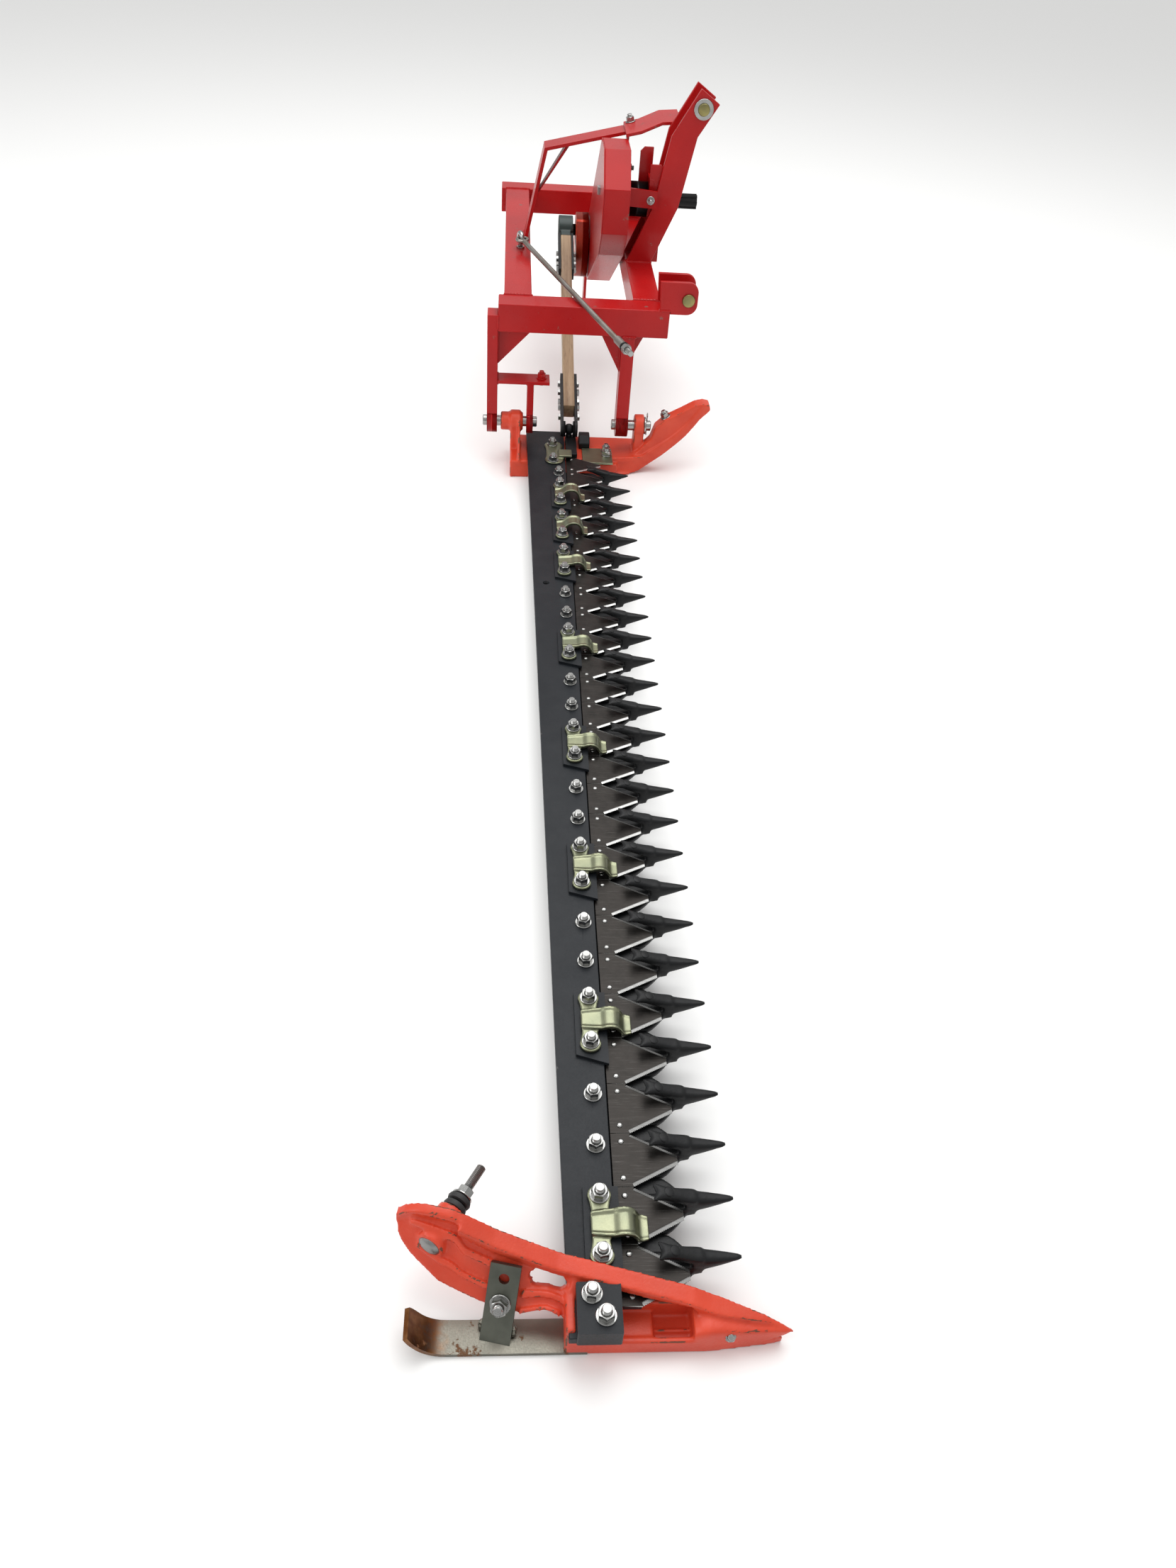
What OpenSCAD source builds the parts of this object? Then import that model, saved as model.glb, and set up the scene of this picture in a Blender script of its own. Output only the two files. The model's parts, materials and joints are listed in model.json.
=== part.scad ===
// Rear mounted sickle bar mower, lowered for work and standing on its own shoes and parking stand.
// +X is the way it travels, +Y is from the cutter bar to the headstock, +Z is up.
// The origin is on the ground, under the middle of the inner shoe.

/* [Cutter bar] */
// Number of guard fingers on the bar
guard_count = 27; // [20:1:30]
// Spacing of the guard fingers, which is also the knife stroke
pitch = 76.2; // [74:0.2:80]
// Distance from the middle of the inner shoe to the first finger
guard_inset = 128.8; // [124:1:150]
// Height of the top face of the bar above the ground
bar_top = 55; // [53:1:62]
// Thickness of the bar
bar_t = 12; // [10:1:14]
// Front edge of the bar ahead of the line of guard bolts
bar_front = 18; // [15:0.5:18]
// Rear edge of the bar behind the bolts at the inner end
bar_rear_inner = 76; // [66:1:80]
// Rear edge of the bar behind the bolts at the outer end
bar_rear_outer = 42; // [36:1:48]
// Tip of the fingers ahead of the line of guard bolts
finger_reach = 168; // [160:1:176]

/* [Knife] */
// Length of a knife section from its back edge to its tip
section_len = 84; // [80:0.5:85]
// Thickness of a knife section
section_t = 2.5; // [2:0.1:2.8]
// Width of the cut-off tip of a section
section_tip_w = 14; // [10:1:18]
// Thickness of the knife back
knife_back_t = 5; // [4:0.2:5.2]
// Width of the knife back
knife_back_w = 22; // [18:1:24]
// How far the knife stands from its inner dead point at rest
knife_rest = 19; // [10:1:30]

/* [Headstock] */
// Side of the square frame tubes
beam = 65; // [60:1:70]
// Wall of the frame tubes
beam_wall = 5; // [3:0.5:8]
// Length of the frame across the direction of travel
frame_w = 980; // [970:2:1010]
// Underside of the frame tubes above the ground
frame_h = 330; // [324:1:338]
// Rear end of the frame behind the guard bolts
frame_rear = 150; // [146:1:156]
// Front end of the frame ahead of the guard bolts
frame_front = 250; // [246:1:258]
// Height of the bar hinge above the ground
hinge_h = 105; // [102:1:112]
// Distance of the bar hinge from the middle of the inner shoe
hinge_y = 45; // [40:1:50]
// Diameter of the hinge pins
hinge_pin_d = 25; // [20:1:28]

/* [Hitch] */
// Half the distance between the lower link points
link_half_spread = 340; // [330:1:350]
// Diameter of the lower link pins
lower_pin_d = 22; // [18:1:26]
// Diameter of the top link pin
top_pin_d = 19; // [16:1:25]
// Room for the ball of a lower link between its two plates
lower_gap = 48; // [44:1:50]
// Room for the ball of the top link between the mast straps
top_gap = 64; // [54:1:70]
// Height of the top link pin above the frame tubes
top_pin_rise = 353; // [340:1:370]

/* [Drive] */
// Height of the input shaft above the frame tubes
input_rise = 138; // [130:1:145]
// Height of the crank shaft below the frame tubes
crank_drop = 23; // [18:1:28]
// Distance of the crank shaft from the far frame tube
crank_inset = 185; // [177:1:193]
// Diameter of both drive shafts
shaft_d = 35; // [30:1:36]
// Outer diameter of the drive pulley
drive_pulley_d = 200; // [180:2:206]
// Outer diameter of the crank pulley
crank_pulley_d = 125; // [116:1:132]
// Diameter of the flywheel
flywheel_d = 166; // [150:1:172]
// Thickness of the flywheel rim
flywheel_t = 34; // [28:1:34]

/* [Shoes] */
// Width of the runner of the inner shoe
runner_w = 92; // [84:1:98]
// Thickness of the cast walls of the shoes
cast_t = 12; // [10:1:14]
// Radius of the turned-up nose of the inner shoe
nose_r = 240; // [225:1:255]
// Diameter of the stud for the swath board
stud_d = 12; // [10:1:14]

/* [Hidden] */
$fn = 48;

// Radial running fit of a pin or shaft in its bore
run_fit = 0.05;
// Gap between faces that slide or pass
slide_gap = 0.5;
// Overrun of a cut past the face that it opens
over = 1;
// Radial room of a bolt in its hole
bolt_room = 0.3;

// Paint and metals
red = [0.55, 0.07, 0.08];
orange = [0.85, 0.32, 0.22];
black = [0.10, 0.11, 0.12];
slate = [0.17, 0.19, 0.21];
steel = [0.62, 0.63, 0.64];
zinc = [0.80, 0.76, 0.60];
wood = [0.70, 0.52, 0.34];
green = [0.10, 0.20, 0.17];
rubber = [0.06, 0.06, 0.06];

// The one size of bolt that holds the guards, clips, shoes and plates
bolt_r = 6;
hole_r = bolt_r + bolt_room;
nut_r = 10.5;
nut_h = 10;
nut_sides = 6;
washer_r = 12.5;
washer_t = 2.5;
bolt_end = 6;
head_h = 7;

// A hexagon nut on its washer with the bolt end standing out, on the plane z = 0
module nut_stack() {
    difference() {
        union() {
            cylinder(r = washer_r, h = washer_t);
            translate([0, 0, washer_t]) cylinder(r = nut_r, h = nut_h, $fn = nut_sides);
        }
        translate([0, 0, -over]) cylinder(r = bolt_r + run_fit, h = washer_t + nut_h + 2 * over);
    }
}

// A bolt with a hexagon head under z = 0 that clamps a grip above it
module bolt(grip) {
    translate([0, 0, -head_h]) cylinder(r = nut_r, h = head_h, $fn = nut_sides);
    cylinder(r = bolt_r, h = grip + washer_t + nut_h + bolt_end);
}

// A square tube that runs along X from the origin
module tube_x(length) {
    difference() {
        cube([length, beam, beam]);
        translate([-over, beam_wall, beam_wall])
            cube([length + 2 * over, beam - 2 * beam_wall, beam - 2 * beam_wall]);
    }
}

// A plate in the XZ plane, from y = 0 away to its thickness
module plate_xz(points, thick) {
    translate([0, thick, 0]) rotate([90, 0, 0]) linear_extrude(thick) polygon(points);
}

// A round bar or hole along X from the origin
module rod_x(r, length) {
    rotate([0, 90, 0]) cylinder(r = r, h = length);
}

// A round bar or hole along Y from the origin
module rod_y(r, length) {
    rotate([-90, 0, 0]) cylinder(r = r, h = length);
}

// Frame of four square tubes
hinge_to_near = 15;
near_y = hinge_y - hinge_to_near;
far_y = near_y + frame_w - beam;
cross_len = frame_w - 2 * beam;
rear_inset = 13;
front_inset = 17;
rear_x = -frame_rear + rear_inset;
front_x = frame_front - front_inset - beam;
frame_len = frame_rear + frame_front;
beam_top = frame_h + beam;
clevis_inset = 35;
hitch_y = near_y + clevis_inset + link_half_spread;
top_pin_h = beam_top + top_pin_rise;
input_h = beam_top + input_rise;
crank_h = frame_h - crank_drop;
crank_y = far_y - crank_inset;

module near_beam() {
    color(red) translate([-frame_rear, near_y, frame_h]) tube_x(frame_len);
}

module far_beam() {
    color(red) translate([-frame_rear, far_y, frame_h]) tube_x(frame_len);
}

module rear_beam() {
    color(red) translate([rear_x + beam, near_y + beam, frame_h]) rotate([0, 0, 90]) tube_x(cross_len);
}

module front_beam() {
    color(red) difference() {
        translate([front_x + beam, near_y + beam, frame_h]) rotate([0, 0, 90]) tube_x(cross_len);
        translate([front_x - over, crank_y, crank_h]) rod_x(housing_r, beam + 2 * over);
    }
}

// Legs that carry the bar hinge under the near tube
leg_d = 50;
leg_eye_r = 28;
pin_r = hinge_pin_d / 2;
rear_leg_t = 25;
rear_leg_rise = 38;
front_leg_t = 30;
front_leg_x = 143;
bracket_t = 8;
bracket_h = 212;
bracket_len = 126;
inner_leg_t = 16;
inner_leg_x = -78;
gusset_t = 8;
rear_gusset_w = 82;
rear_gusset_h = 85;
front_gusset_w = 51;
front_gusset_h = 95;
nose_gusset_w = 25;
nose_gusset_h = 50;

// The side of a leg from its pin eye up to a height, in Y and Z, extruded along X
module leg(thick, top) {
    difference() {
        union() {
            translate([0, near_y, hinge_h]) cube([thick, leg_d, top - hinge_h]);
            translate([0, hinge_y, hinge_h]) rod_x(leg_eye_r, thick);
        }
        translate([-over, hinge_y, hinge_h]) rod_x(pin_r + run_fit, thick + 2 * over);
    }
}

module rear_leg() {
    color(red) translate([-frame_rear - rear_leg_t, 0, 0]) leg(rear_leg_t, frame_h + rear_leg_rise);
}

module rear_bracket() {
    color(red) difference() {
        union() {
            translate([-frame_rear, near_y, bracket_h - bracket_t]) cube([bracket_len, leg_d, bracket_t]);
            translate([inner_leg_x, 0, 0]) leg(inner_leg_t, bracket_h - bracket_t);
        }
        translate([bracket_bolt_x, near_y + leg_d / 2, bracket_h - bracket_t - over])
            cylinder(r = hole_r, h = bracket_t + 2 * over);
    }
}
bracket_bolt_x = inner_leg_x + inner_leg_t + nut_r + bracket_t;

module front_leg() {
    color(red) translate([front_leg_x, 0, 0]) leg(front_leg_t, frame_h);
}

module leg_gussets() {
    front_leg_end = front_leg_x + front_leg_t;
    color(red) translate([0, near_y + (leg_d - gusset_t) / 2, 0]) {
        plate_xz([[-frame_rear, frame_h], [-frame_rear + rear_gusset_w, frame_h],
                  [-frame_rear, frame_h - rear_gusset_h]], gusset_t);
        plate_xz([[front_leg_x, frame_h], [front_leg_x - front_gusset_w, frame_h],
                  [front_leg_x, frame_h - front_gusset_h]], gusset_t);
        plate_xz([[front_leg_end, frame_h], [front_leg_end + nose_gusset_w, frame_h],
                  [front_leg_end, frame_h - nose_gusset_h]], gusset_t);
    }
}

// Pins of the bar hinge, the rear one in its clevis and the front one with its outer lug
rear_lug_x = -141;
rear_lug_t = 55;
front_lug_x = 190;
front_lug_t = 24;
pin_stick = 10;
cotter_r = 2.5;
cotter_len = 44;
lug_play = 1;
pin_washer_r = 21;
pin_washer_t = 4;
rear_pin_x0 = -frame_rear - rear_leg_t - pin_stick;
rear_pin_x1 = inner_leg_x + inner_leg_t + pin_stick;
front_pin_x0 = front_leg_x - pin_stick;
front_washer_x = front_lug_x + front_lug_t + lug_play;
front_cotter_x = front_washer_x + pin_washer_t + cotter_r + run_fit;
front_pin_x1 = front_cotter_x + pin_stick;

module hinge_pins() {
    color(steel) translate([0, hinge_y, hinge_h]) {
        translate([rear_pin_x0, 0, 0]) rod_x(pin_r, rear_pin_x1 - rear_pin_x0);
        difference() {
            translate([front_pin_x0, 0, 0]) rod_x(pin_r, front_pin_x1 - front_pin_x0);
            translate([front_cotter_x, 0, -cotter_len]) cylinder(r = cotter_r + run_fit, h = 2 * cotter_len);
        }
    }
}

// Mast of two bent straps for the top link
strap_t = 10;
strap_w = 62;
mast_foot_x = 200;
mast_knee_x = 256;
mast_knee_rise = 133;
mast_knee_h = beam_top + mast_knee_rise;
mast_neck_x = 286;
mast_neck_drop = 61;
mast_neck_h = top_pin_h - mast_neck_drop;
mast_head_x = 346;
mast_head_rise = 42;
mast_head_h = top_pin_h + mast_head_rise;
top_pin_x = 324;
near_strap_y = hitch_y - top_gap / 2 - strap_t;
far_strap_y = hitch_y + top_gap / 2;
top_r = top_pin_d / 2;

module mast_strap() {
    half = strap_w / 2;
    difference() {
        plate_xz([[mast_foot_x - half, beam_top], [mast_foot_x + half, beam_top],
                  [mast_knee_x + half, mast_knee_h], [mast_neck_x + half, mast_neck_h],
                  [mast_head_x + half / 2, mast_head_h - half], [mast_head_x - half, mast_head_h],
                  [mast_neck_x - half, mast_neck_h], [mast_knee_x - half, mast_knee_h]], strap_t);
        translate([top_pin_x, -over, top_pin_h]) rod_y(top_r + run_fit, strap_t + 2 * over);
    }
}

module mast_straps() {
    color(red) translate([0, near_strap_y, 0]) mast_strap();
    color(red) translate([0, far_strap_y, 0]) mast_strap();
}

// Belt drive: places along X, from the rear flywheel to the front bearings
flywheel_x = 58;
guard_x0 = 98;
guard_x1 = 160;
guard_wall = 3;
back_plate_t = 3;
pulley_x = 106;
pulley_w = 44;
housing_gap = 1;
housing_x = guard_x1 + housing_gap;
housing_r = 40;
bearing_r = 31;
bearing_w = 14;
bearing_inset = 2;
input_housing_len = 51;
crank_housing_len = 77;
shaft_r = shaft_d / 2;
shaft_room = 4;
guard_rim = 22;
guard_sides = 8;
guard_turn = 180 / guard_sides;
drive_r = drive_pulley_d / 2;
crank_pulley_r = crank_pulley_d / 2;
belt_w = 13;
belt_t = 8;
belt_count = 2;
belt_step = 19;
groove_room = 0.6;
belt_sink = 1;
belt_facets = 64;

// Support arm of the belt guard, a bent flat bar from the rear tube, with a brace and a tab
arm_offset = 98;
arm_y = hitch_y + arm_offset;
arm_w = 65;
arm_t = 8;
arm_foot_x = rear_x + beam - 2 * arm_t;
arm_bend_x = -43;
arm_end_x = 190;
arm_clear = 13;
arm_end_h = input_h + drive_r + guard_rim + arm_clear;
arm_bend_drop = 55;
arm_bend_h = arm_end_h - arm_bend_drop;
arm_pitch = atan2(arm_end_h - arm_bend_h, arm_end_x - arm_bend_x);
brace_low_share = 0.5;
brace_high_share = 0.25;
brace_w = 30;
brace_t = 6;
tab_w = 30;
tab_h = 112;
tab_t = 6;

function along(a, b, share) = a + (b - a) * share;
function arm_h(x) = along(arm_bend_h, arm_end_h, (x - arm_bend_x) / (arm_end_x - arm_bend_x));

module guard_arm() {
    low = [along(arm_foot_x, arm_bend_x, brace_low_share) + arm_t,
           along(beam_top, arm_bend_h, brace_low_share)];
    high_x = along(arm_bend_x, arm_end_x, brace_high_share);
    high = [high_x, arm_h(high_x) - arm_t];
    color(red) difference() {
        union() {
            translate([0, arm_y, 0])
                plate_xz([[arm_foot_x, beam_top], [arm_foot_x + arm_t, beam_top],
                          [arm_bend_x + arm_t, arm_h(arm_bend_x + arm_t) - arm_t],
                          [arm_end_x, arm_end_h - arm_t],
                          [arm_end_x, arm_end_h], [arm_bend_x, arm_bend_h]], arm_w);
            translate([0, arm_y + (arm_w - brace_w) / 2, 0])
                plate_xz([low, [low[0], low[1] - brace_t], [high[0] + brace_t, high[1]],
                          [high[0] + brace_t, high[1] + arm_t / 2], [high[0], high[1] + arm_t / 2]], brace_w);
            translate([guard_x1, tab_y, arm_h(guard_x1) - tab_h]) cube([tab_t, tab_w, tab_h]);
        }
        translate([guard_x1 - over, tab_y + tab_w / 2, tab_bolt_h]) rod_x(hole_r, tab_t + 2 * over);
        brace_bolt_frame() brace_bolt_hole();
    }
}
tab_y = arm_y;
tab_bolt_h = arm_h(guard_x1) - tab_h + 2 * washer_r;

// Curved plate from the far mast strap back to the end of the support arm
brace_plate_t = 8;
brace_front_x = mast_neck_x;
brace_front_rise = 26;
brace_front_h = arm_end_h + brace_front_rise;
brace_mid_x = 240;
brace_mid_rise = 22;
brace_mid_h = arm_end_h + brace_mid_rise;
brace_rear_x = 154;
brace_bolt_share = 0.5;
brace_bolt_x = along(brace_rear_x, arm_end_x, brace_bolt_share);
brace_bolt_y = arm_y + arm_w - washer_r - brace_t;

// Stands square on the sloping top of the arm, at the bolt that holds the curved plate
module brace_bolt_frame() {
    translate([brace_bolt_x, brace_bolt_y, arm_h(brace_bolt_x)]) rotate([0, -arm_pitch, 0]) children();
}

module brace_bolt_hole() {
    translate([0, 0, -2 * arm_t]) cylinder(r = hole_r, h = 2 * arm_t + 2 * brace_plate_t);
}

module mast_brace() {
    color(red) difference() {
        translate([0, far_strap_y + strap_t, 0])
            plate_xz([[brace_rear_x, arm_h(brace_rear_x)], [arm_end_x, arm_end_h], [brace_mid_x, brace_mid_h],
                      [brace_front_x, brace_front_h], [brace_front_x, brace_front_h + brace_plate_t],
                      [brace_mid_x, brace_mid_h + brace_plate_t], [arm_end_x, arm_end_h + brace_plate_t],
                      [brace_rear_x, arm_h(brace_rear_x) + brace_plate_t]],
                     arm_y + arm_w - far_strap_y - strap_t);
        brace_bolt_frame() brace_bolt_hole();
    }
}

// Top link pin across the mast
top_head_r = 14;
top_head_t = 6;
top_pin_y0 = near_strap_y - pin_washer_t;
top_pin_y1 = far_strap_y + strap_t + pin_washer_t + 2 * cotter_r + pin_stick;
top_cotter_y = far_strap_y + strap_t + pin_washer_t + cotter_r + run_fit;
top_washer_r = 23;

module top_link_pin() {
    color(zinc) difference() {
        translate([top_pin_x, top_pin_y0, top_pin_h]) {
            rod_y(top_r, top_pin_y1 - top_pin_y0);
            translate([0, -top_head_t, 0]) rod_y(top_head_r, top_head_t);
        }
        translate([top_pin_x, top_cotter_y, top_pin_h - cotter_len])
            cylinder(r = cotter_r + run_fit, h = 2 * cotter_len);
    }
}

// Lower link brackets, two pairs of upright plates on the frame tubes
clevis_t = 10;
clevis_x = 168;
clevis_len = 144;
clevis_rise = 66;
clevis_corner = 22;
lower_pin_x = 290;
lower_pin_rise = 26;
lower_pin_h = beam_top + lower_pin_rise;
lower_r = lower_pin_d / 2;
near_clevis_y = hitch_y - link_half_spread;
far_clevis_y = hitch_y + link_half_spread;
lower_head_r = 15;
lower_head_t = 6;

module clevis_plate() {
    difference() {
        plate_xz([[clevis_x, beam_top], [clevis_x + clevis_len, beam_top],
                  [clevis_x + clevis_len, beam_top + clevis_rise - clevis_corner],
                  [clevis_x + clevis_len - clevis_corner, beam_top + clevis_rise],
                  [clevis_x + clevis_len / 2, beam_top + clevis_rise], [clevis_x, beam_top + clevis_corner]],
                 clevis_t);
        translate([lower_pin_x, -over, lower_pin_h]) rod_y(lower_r + run_fit, clevis_t + 2 * over);
    }
}

module lower_clevises() {
    color(red) for (y = [near_clevis_y, far_clevis_y], side = [-1, 1])
        translate([0, y + side * (lower_gap + clevis_t) / 2 - clevis_t / 2, 0]) clevis_plate();
}

module lower_link_pins() {
    reach = lower_gap / 2 + clevis_t;
    color(zinc) for (y = [near_clevis_y, far_clevis_y]) translate([lower_pin_x, y, lower_pin_h]) {
        translate([0, -reach, 0]) rod_y(lower_r, 2 * reach + pin_stick);
        translate([0, -reach - lower_head_t, 0]) rod_y(lower_head_r, lower_head_t);
    }
}

// Washers and cotters of the hitch and hinge pins
module pin_washers() {
    color(steel) {
        translate([front_washer_x, hinge_y, hinge_h]) difference() {
            rod_x(pin_washer_r, pin_washer_t);
            translate([-over, 0, 0]) rod_x(pin_r + run_fit, pin_washer_t + 2 * over);
        }
        translate([front_cotter_x, hinge_y, hinge_h - cotter_len / 2]) cylinder(r = cotter_r, h = cotter_len);
        for (y = [near_strap_y - pin_washer_t, far_strap_y + strap_t])
            translate([top_pin_x, y, top_pin_h]) difference() {
                rod_y(top_washer_r, pin_washer_t);
                translate([0, -over, 0]) rod_y(top_r + run_fit, pin_washer_t + 2 * over);
            }
        translate([top_pin_x, top_cotter_y, top_pin_h - cotter_len / 2])
            cylinder(r = cotter_r, h = cotter_len);
    }
}

// Outline of the belt guard in Y and Z: two octagons and the wrap that joins them
module guard_outline(inset) {
    flat = 1 / cos(guard_turn);
    hull() {
        translate([hitch_y, input_h]) rotate(guard_turn)
            circle(r = (drive_r + guard_rim - inset) * flat, $fn = guard_sides);
        translate([crank_y, crank_h]) rotate(guard_turn)
            circle(r = (crank_pulley_r + guard_rim - inset) * flat, $fn = guard_sides);
    }
}

// Stands a drawing in Y and Z upright at a place along X
module extrude_x(x, length) {
    translate([x, 0, 0]) rotate([90, 0, 90]) linear_extrude(length) children();
}

module belt_guard() {
    color(red) difference() {
        extrude_x(guard_x0, guard_x1 - guard_x0) guard_outline(0);
        extrude_x(guard_x0 - over, guard_x1 - guard_x0 - guard_wall + over) guard_outline(guard_wall);
        translate([guard_x0, hitch_y, input_h]) rod_x(shaft_r + shaft_room, guard_x1);
        translate([guard_x0, crank_y, crank_h]) rod_x(shaft_r + shaft_room, guard_x1);
        translate([guard_x0, tab_y + tab_w / 2, tab_bolt_h]) rod_x(hole_r, guard_x1);
    }
}

module guard_back_plate() {
    color(red) difference() {
        extrude_x(guard_x0 - back_plate_t, back_plate_t) guard_outline(0);
        translate([0, crank_y, crank_h]) rod_x(shaft_r + shaft_room, guard_x1);
    }
}

// Loop of a belt round both pulleys in Y and Z, at a distance inside their rims
module belt_outline(inset) {
    hull() {
        translate([hitch_y, input_h]) circle(r = drive_r - inset, $fn = belt_facets);
        translate([crank_y, crank_h]) circle(r = crank_pulley_r - inset, $fn = belt_facets);
    }
}

module drive_belts() {
    color(rubber) for (i = [0 : belt_count - 1])
        extrude_x(pulley_x + pulley_w / 2 + (i - (belt_count - 1) / 2) * belt_step - belt_w / 2, belt_w)
            difference() {
                belt_outline(belt_sink);
                belt_outline(belt_sink + belt_t);
            }
}

// A grooved pulley on a shaft along X, with a thin web between rim and hub
rim_depth = 16;
web_t = 12;
hub_wall = 14;
module pulley(outer_r) {
    groove_w = belt_w + 2 * groove_room;
    groove_r = outer_r - belt_sink - belt_t - groove_room;
    web_side = (pulley_w - web_t) / 2;
    rotate([0, 90, 0]) rotate_extrude() difference() {
        translate([shaft_r + run_fit, 0]) square([outer_r - shaft_r - run_fit, pulley_w]);
        for (i = [0 : belt_count - 1])
            translate([groove_r, pulley_w / 2 + (i - (belt_count - 1) / 2) * belt_step - groove_w / 2])
                square([outer_r, groove_w]);
        if (outer_r - rim_depth > shaft_r + 2 * hub_wall)
            for (y = [-over, pulley_w - web_side])
                translate([shaft_r + hub_wall, y])
                    square([groove_r - rim_depth / 2 - shaft_r - hub_wall, web_side + over]);
    }
}

module drive_pulley() {
    color(black) translate([pulley_x, hitch_y, input_h]) pulley(drive_r);
}

module crank_pulley() {
    color(black) translate([pulley_x, crank_y, crank_h]) pulley(crank_pulley_r);
}

// Bearing tubes of the input and crank shafts, and the upright plate of the input one
module housing(length) {
    difference() {
        rod_x(housing_r, length);
        translate([-over, 0, 0]) rod_x(bearing_r, length + 2 * over);
    }
}

bearing_plate_t = 12;
bearing_plate_top = 14;
module input_housing() {
    color(black) translate([housing_x, hitch_y, input_h]) housing(input_housing_len);
}

module crank_housing() {
    color(black) translate([housing_x, crank_y, crank_h]) housing(crank_housing_len);
}

module bearing_plate() {
    plate_h = input_h + housing_r + bearing_plate_top - beam_top;
    color(red) difference() {
        translate([housing_x + input_housing_len, hitch_y - top_gap / 2, beam_top])
            cube([bearing_plate_t, top_gap, plate_h]);
        translate([housing_x, hitch_y, input_h]) rod_x(shaft_r + shaft_room, frame_front);
    }
}

module bearing() {
    difference() {
        rod_x(bearing_r - run_fit, bearing_w);
        translate([-over, 0, 0]) rod_x(shaft_r + run_fit, bearing_w + 2 * over);
    }
}

module bearings() {
    color(steel) {
        for (x = [bearing_inset, input_housing_len - bearing_inset - bearing_w])
            translate([housing_x + x, hitch_y, input_h]) bearing();
        for (x = [bearing_inset, crank_housing_len - bearing_inset - bearing_w])
            translate([housing_x + x, crank_y, crank_h]) bearing();
    }
}

// Shafts: the input one ends in six splines for the tractor drive line
input_reach = 336;
spline_len = 76;
spline_count = 6;
spline_depth = 2.6;
spline_w = 8.7;
shaft_stub = 6;
module input_shaft() {
    color(steel) translate([0, hitch_y, input_h]) difference() {
        translate([pulley_x, 0, 0]) rod_x(shaft_r, input_reach - pulley_x);
        for (i = [0 : spline_count - 1]) rotate([360 / spline_count * i, 0, 0])
            translate([input_reach - spline_len, -spline_w / 2, shaft_r - spline_depth])
                cube([spline_len + over, spline_w, shaft_r]);
    }
}

module crank_shaft() {
    color(steel) translate([flywheel_x, crank_y, crank_h])
        rod_x(shaft_r, housing_x + crank_housing_len + shaft_stub - flywheel_x);
}

// Flywheel with a heavy rim and the boss of the crank pin
crank_r = pitch / 2;
crank_rest = acos((crank_r - knife_rest) / crank_r);
pin_y = crank_y + crank_r * cos(crank_rest);
pin_z = crank_h + crank_r * sin(crank_rest);
rim_w = 22;
flywheel_web = 16;
crank_pin_r = 15;
crank_boss_r = 24;
crank_hub_r = shaft_r + hub_wall / 2;
pitman_x = 30;
big_end_half = 20;
pivot_gap = 1.5;
pin_out = flywheel_x - pitman_x - big_end_half - pivot_gap;
module flywheel() {
    rim_in = flywheel_d / 2 - rim_w;
    color(orange) difference() {
        union() {
            translate([flywheel_x, crank_y, crank_h]) rotate([0, 90, 0]) rotate_extrude() {
                translate([rim_in, 0]) square([rim_w, flywheel_t]);
                square([rim_in, flywheel_web]);
                square([crank_hub_r, flywheel_t]);
            }
            translate([flywheel_x, pin_y, pin_z]) rod_x(crank_boss_r, flywheel_t);
        }
        translate([flywheel_x - over, crank_y, crank_h]) rod_x(shaft_r + run_fit, flywheel_t + 2 * over);
        translate([flywheel_x - over, pin_y, pin_z]) rod_x(crank_pin_r + run_fit, flywheel_t + 2 * over);
    }
}

module crank_pin() {
    color(steel) translate([flywheel_x - pin_out, pin_y, pin_z]) rod_x(crank_pin_r, flywheel_t + pin_out);
}

// Loose stay rod that hangs in an eye bolt on the rear tube and lies across the near tube
rod_r = 6;
eye_x = -98;
eye_offset = 23;
eye_y = hitch_y + eye_offset;
eye_rise = 25;
eye_h = beam_top + eye_rise;
eye_ring_r = 11;
eye_wire_r = 6;
link_ring_r = 13;
link_wire_r = 4.5;
rod_len = 690;
rod_side_angle = 20.2;
rod_drop = atan((eye_h - beam_top - rod_r - slide_gap) / ((eye_y - near_y) / cos(rod_side_angle)));
rod_nut_from_end = 30;
rod_nut_h = 12;
rod_sleeve_len = 44;
rod_sleeve_r = 9;
module ring(radius, wire) {
    rotate_extrude() translate([radius, 0]) circle(r = wire);
}

// Turns a piece drawn along +X to lie along the parked stay rod
module along_rod() {
    translate([eye_x, eye_y, eye_h]) rotate([0, 0, rod_side_angle - 90]) rotate([0, rod_drop, 0]) children();
}

module eye_bolt() {
    color(steel) {
        translate([eye_x, eye_y, eye_h]) rotate([0, 0, rod_side_angle - 90]) {
            rotate([90, 0, 0]) ring(eye_ring_r, eye_wire_r);
            translate([0, 0, -eye_h + beam_top]) cylinder(r = eye_wire_r, h = eye_h - beam_top - eye_ring_r);
        }
        translate([eye_x, eye_y, beam_top]) difference() {
            cylinder(r = nut_r, h = nut_h / 2, $fn = nut_sides);
            translate([0, 0, -over]) cylinder(r = eye_wire_r + run_fit, h = nut_h);
        }
    }
}

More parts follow.
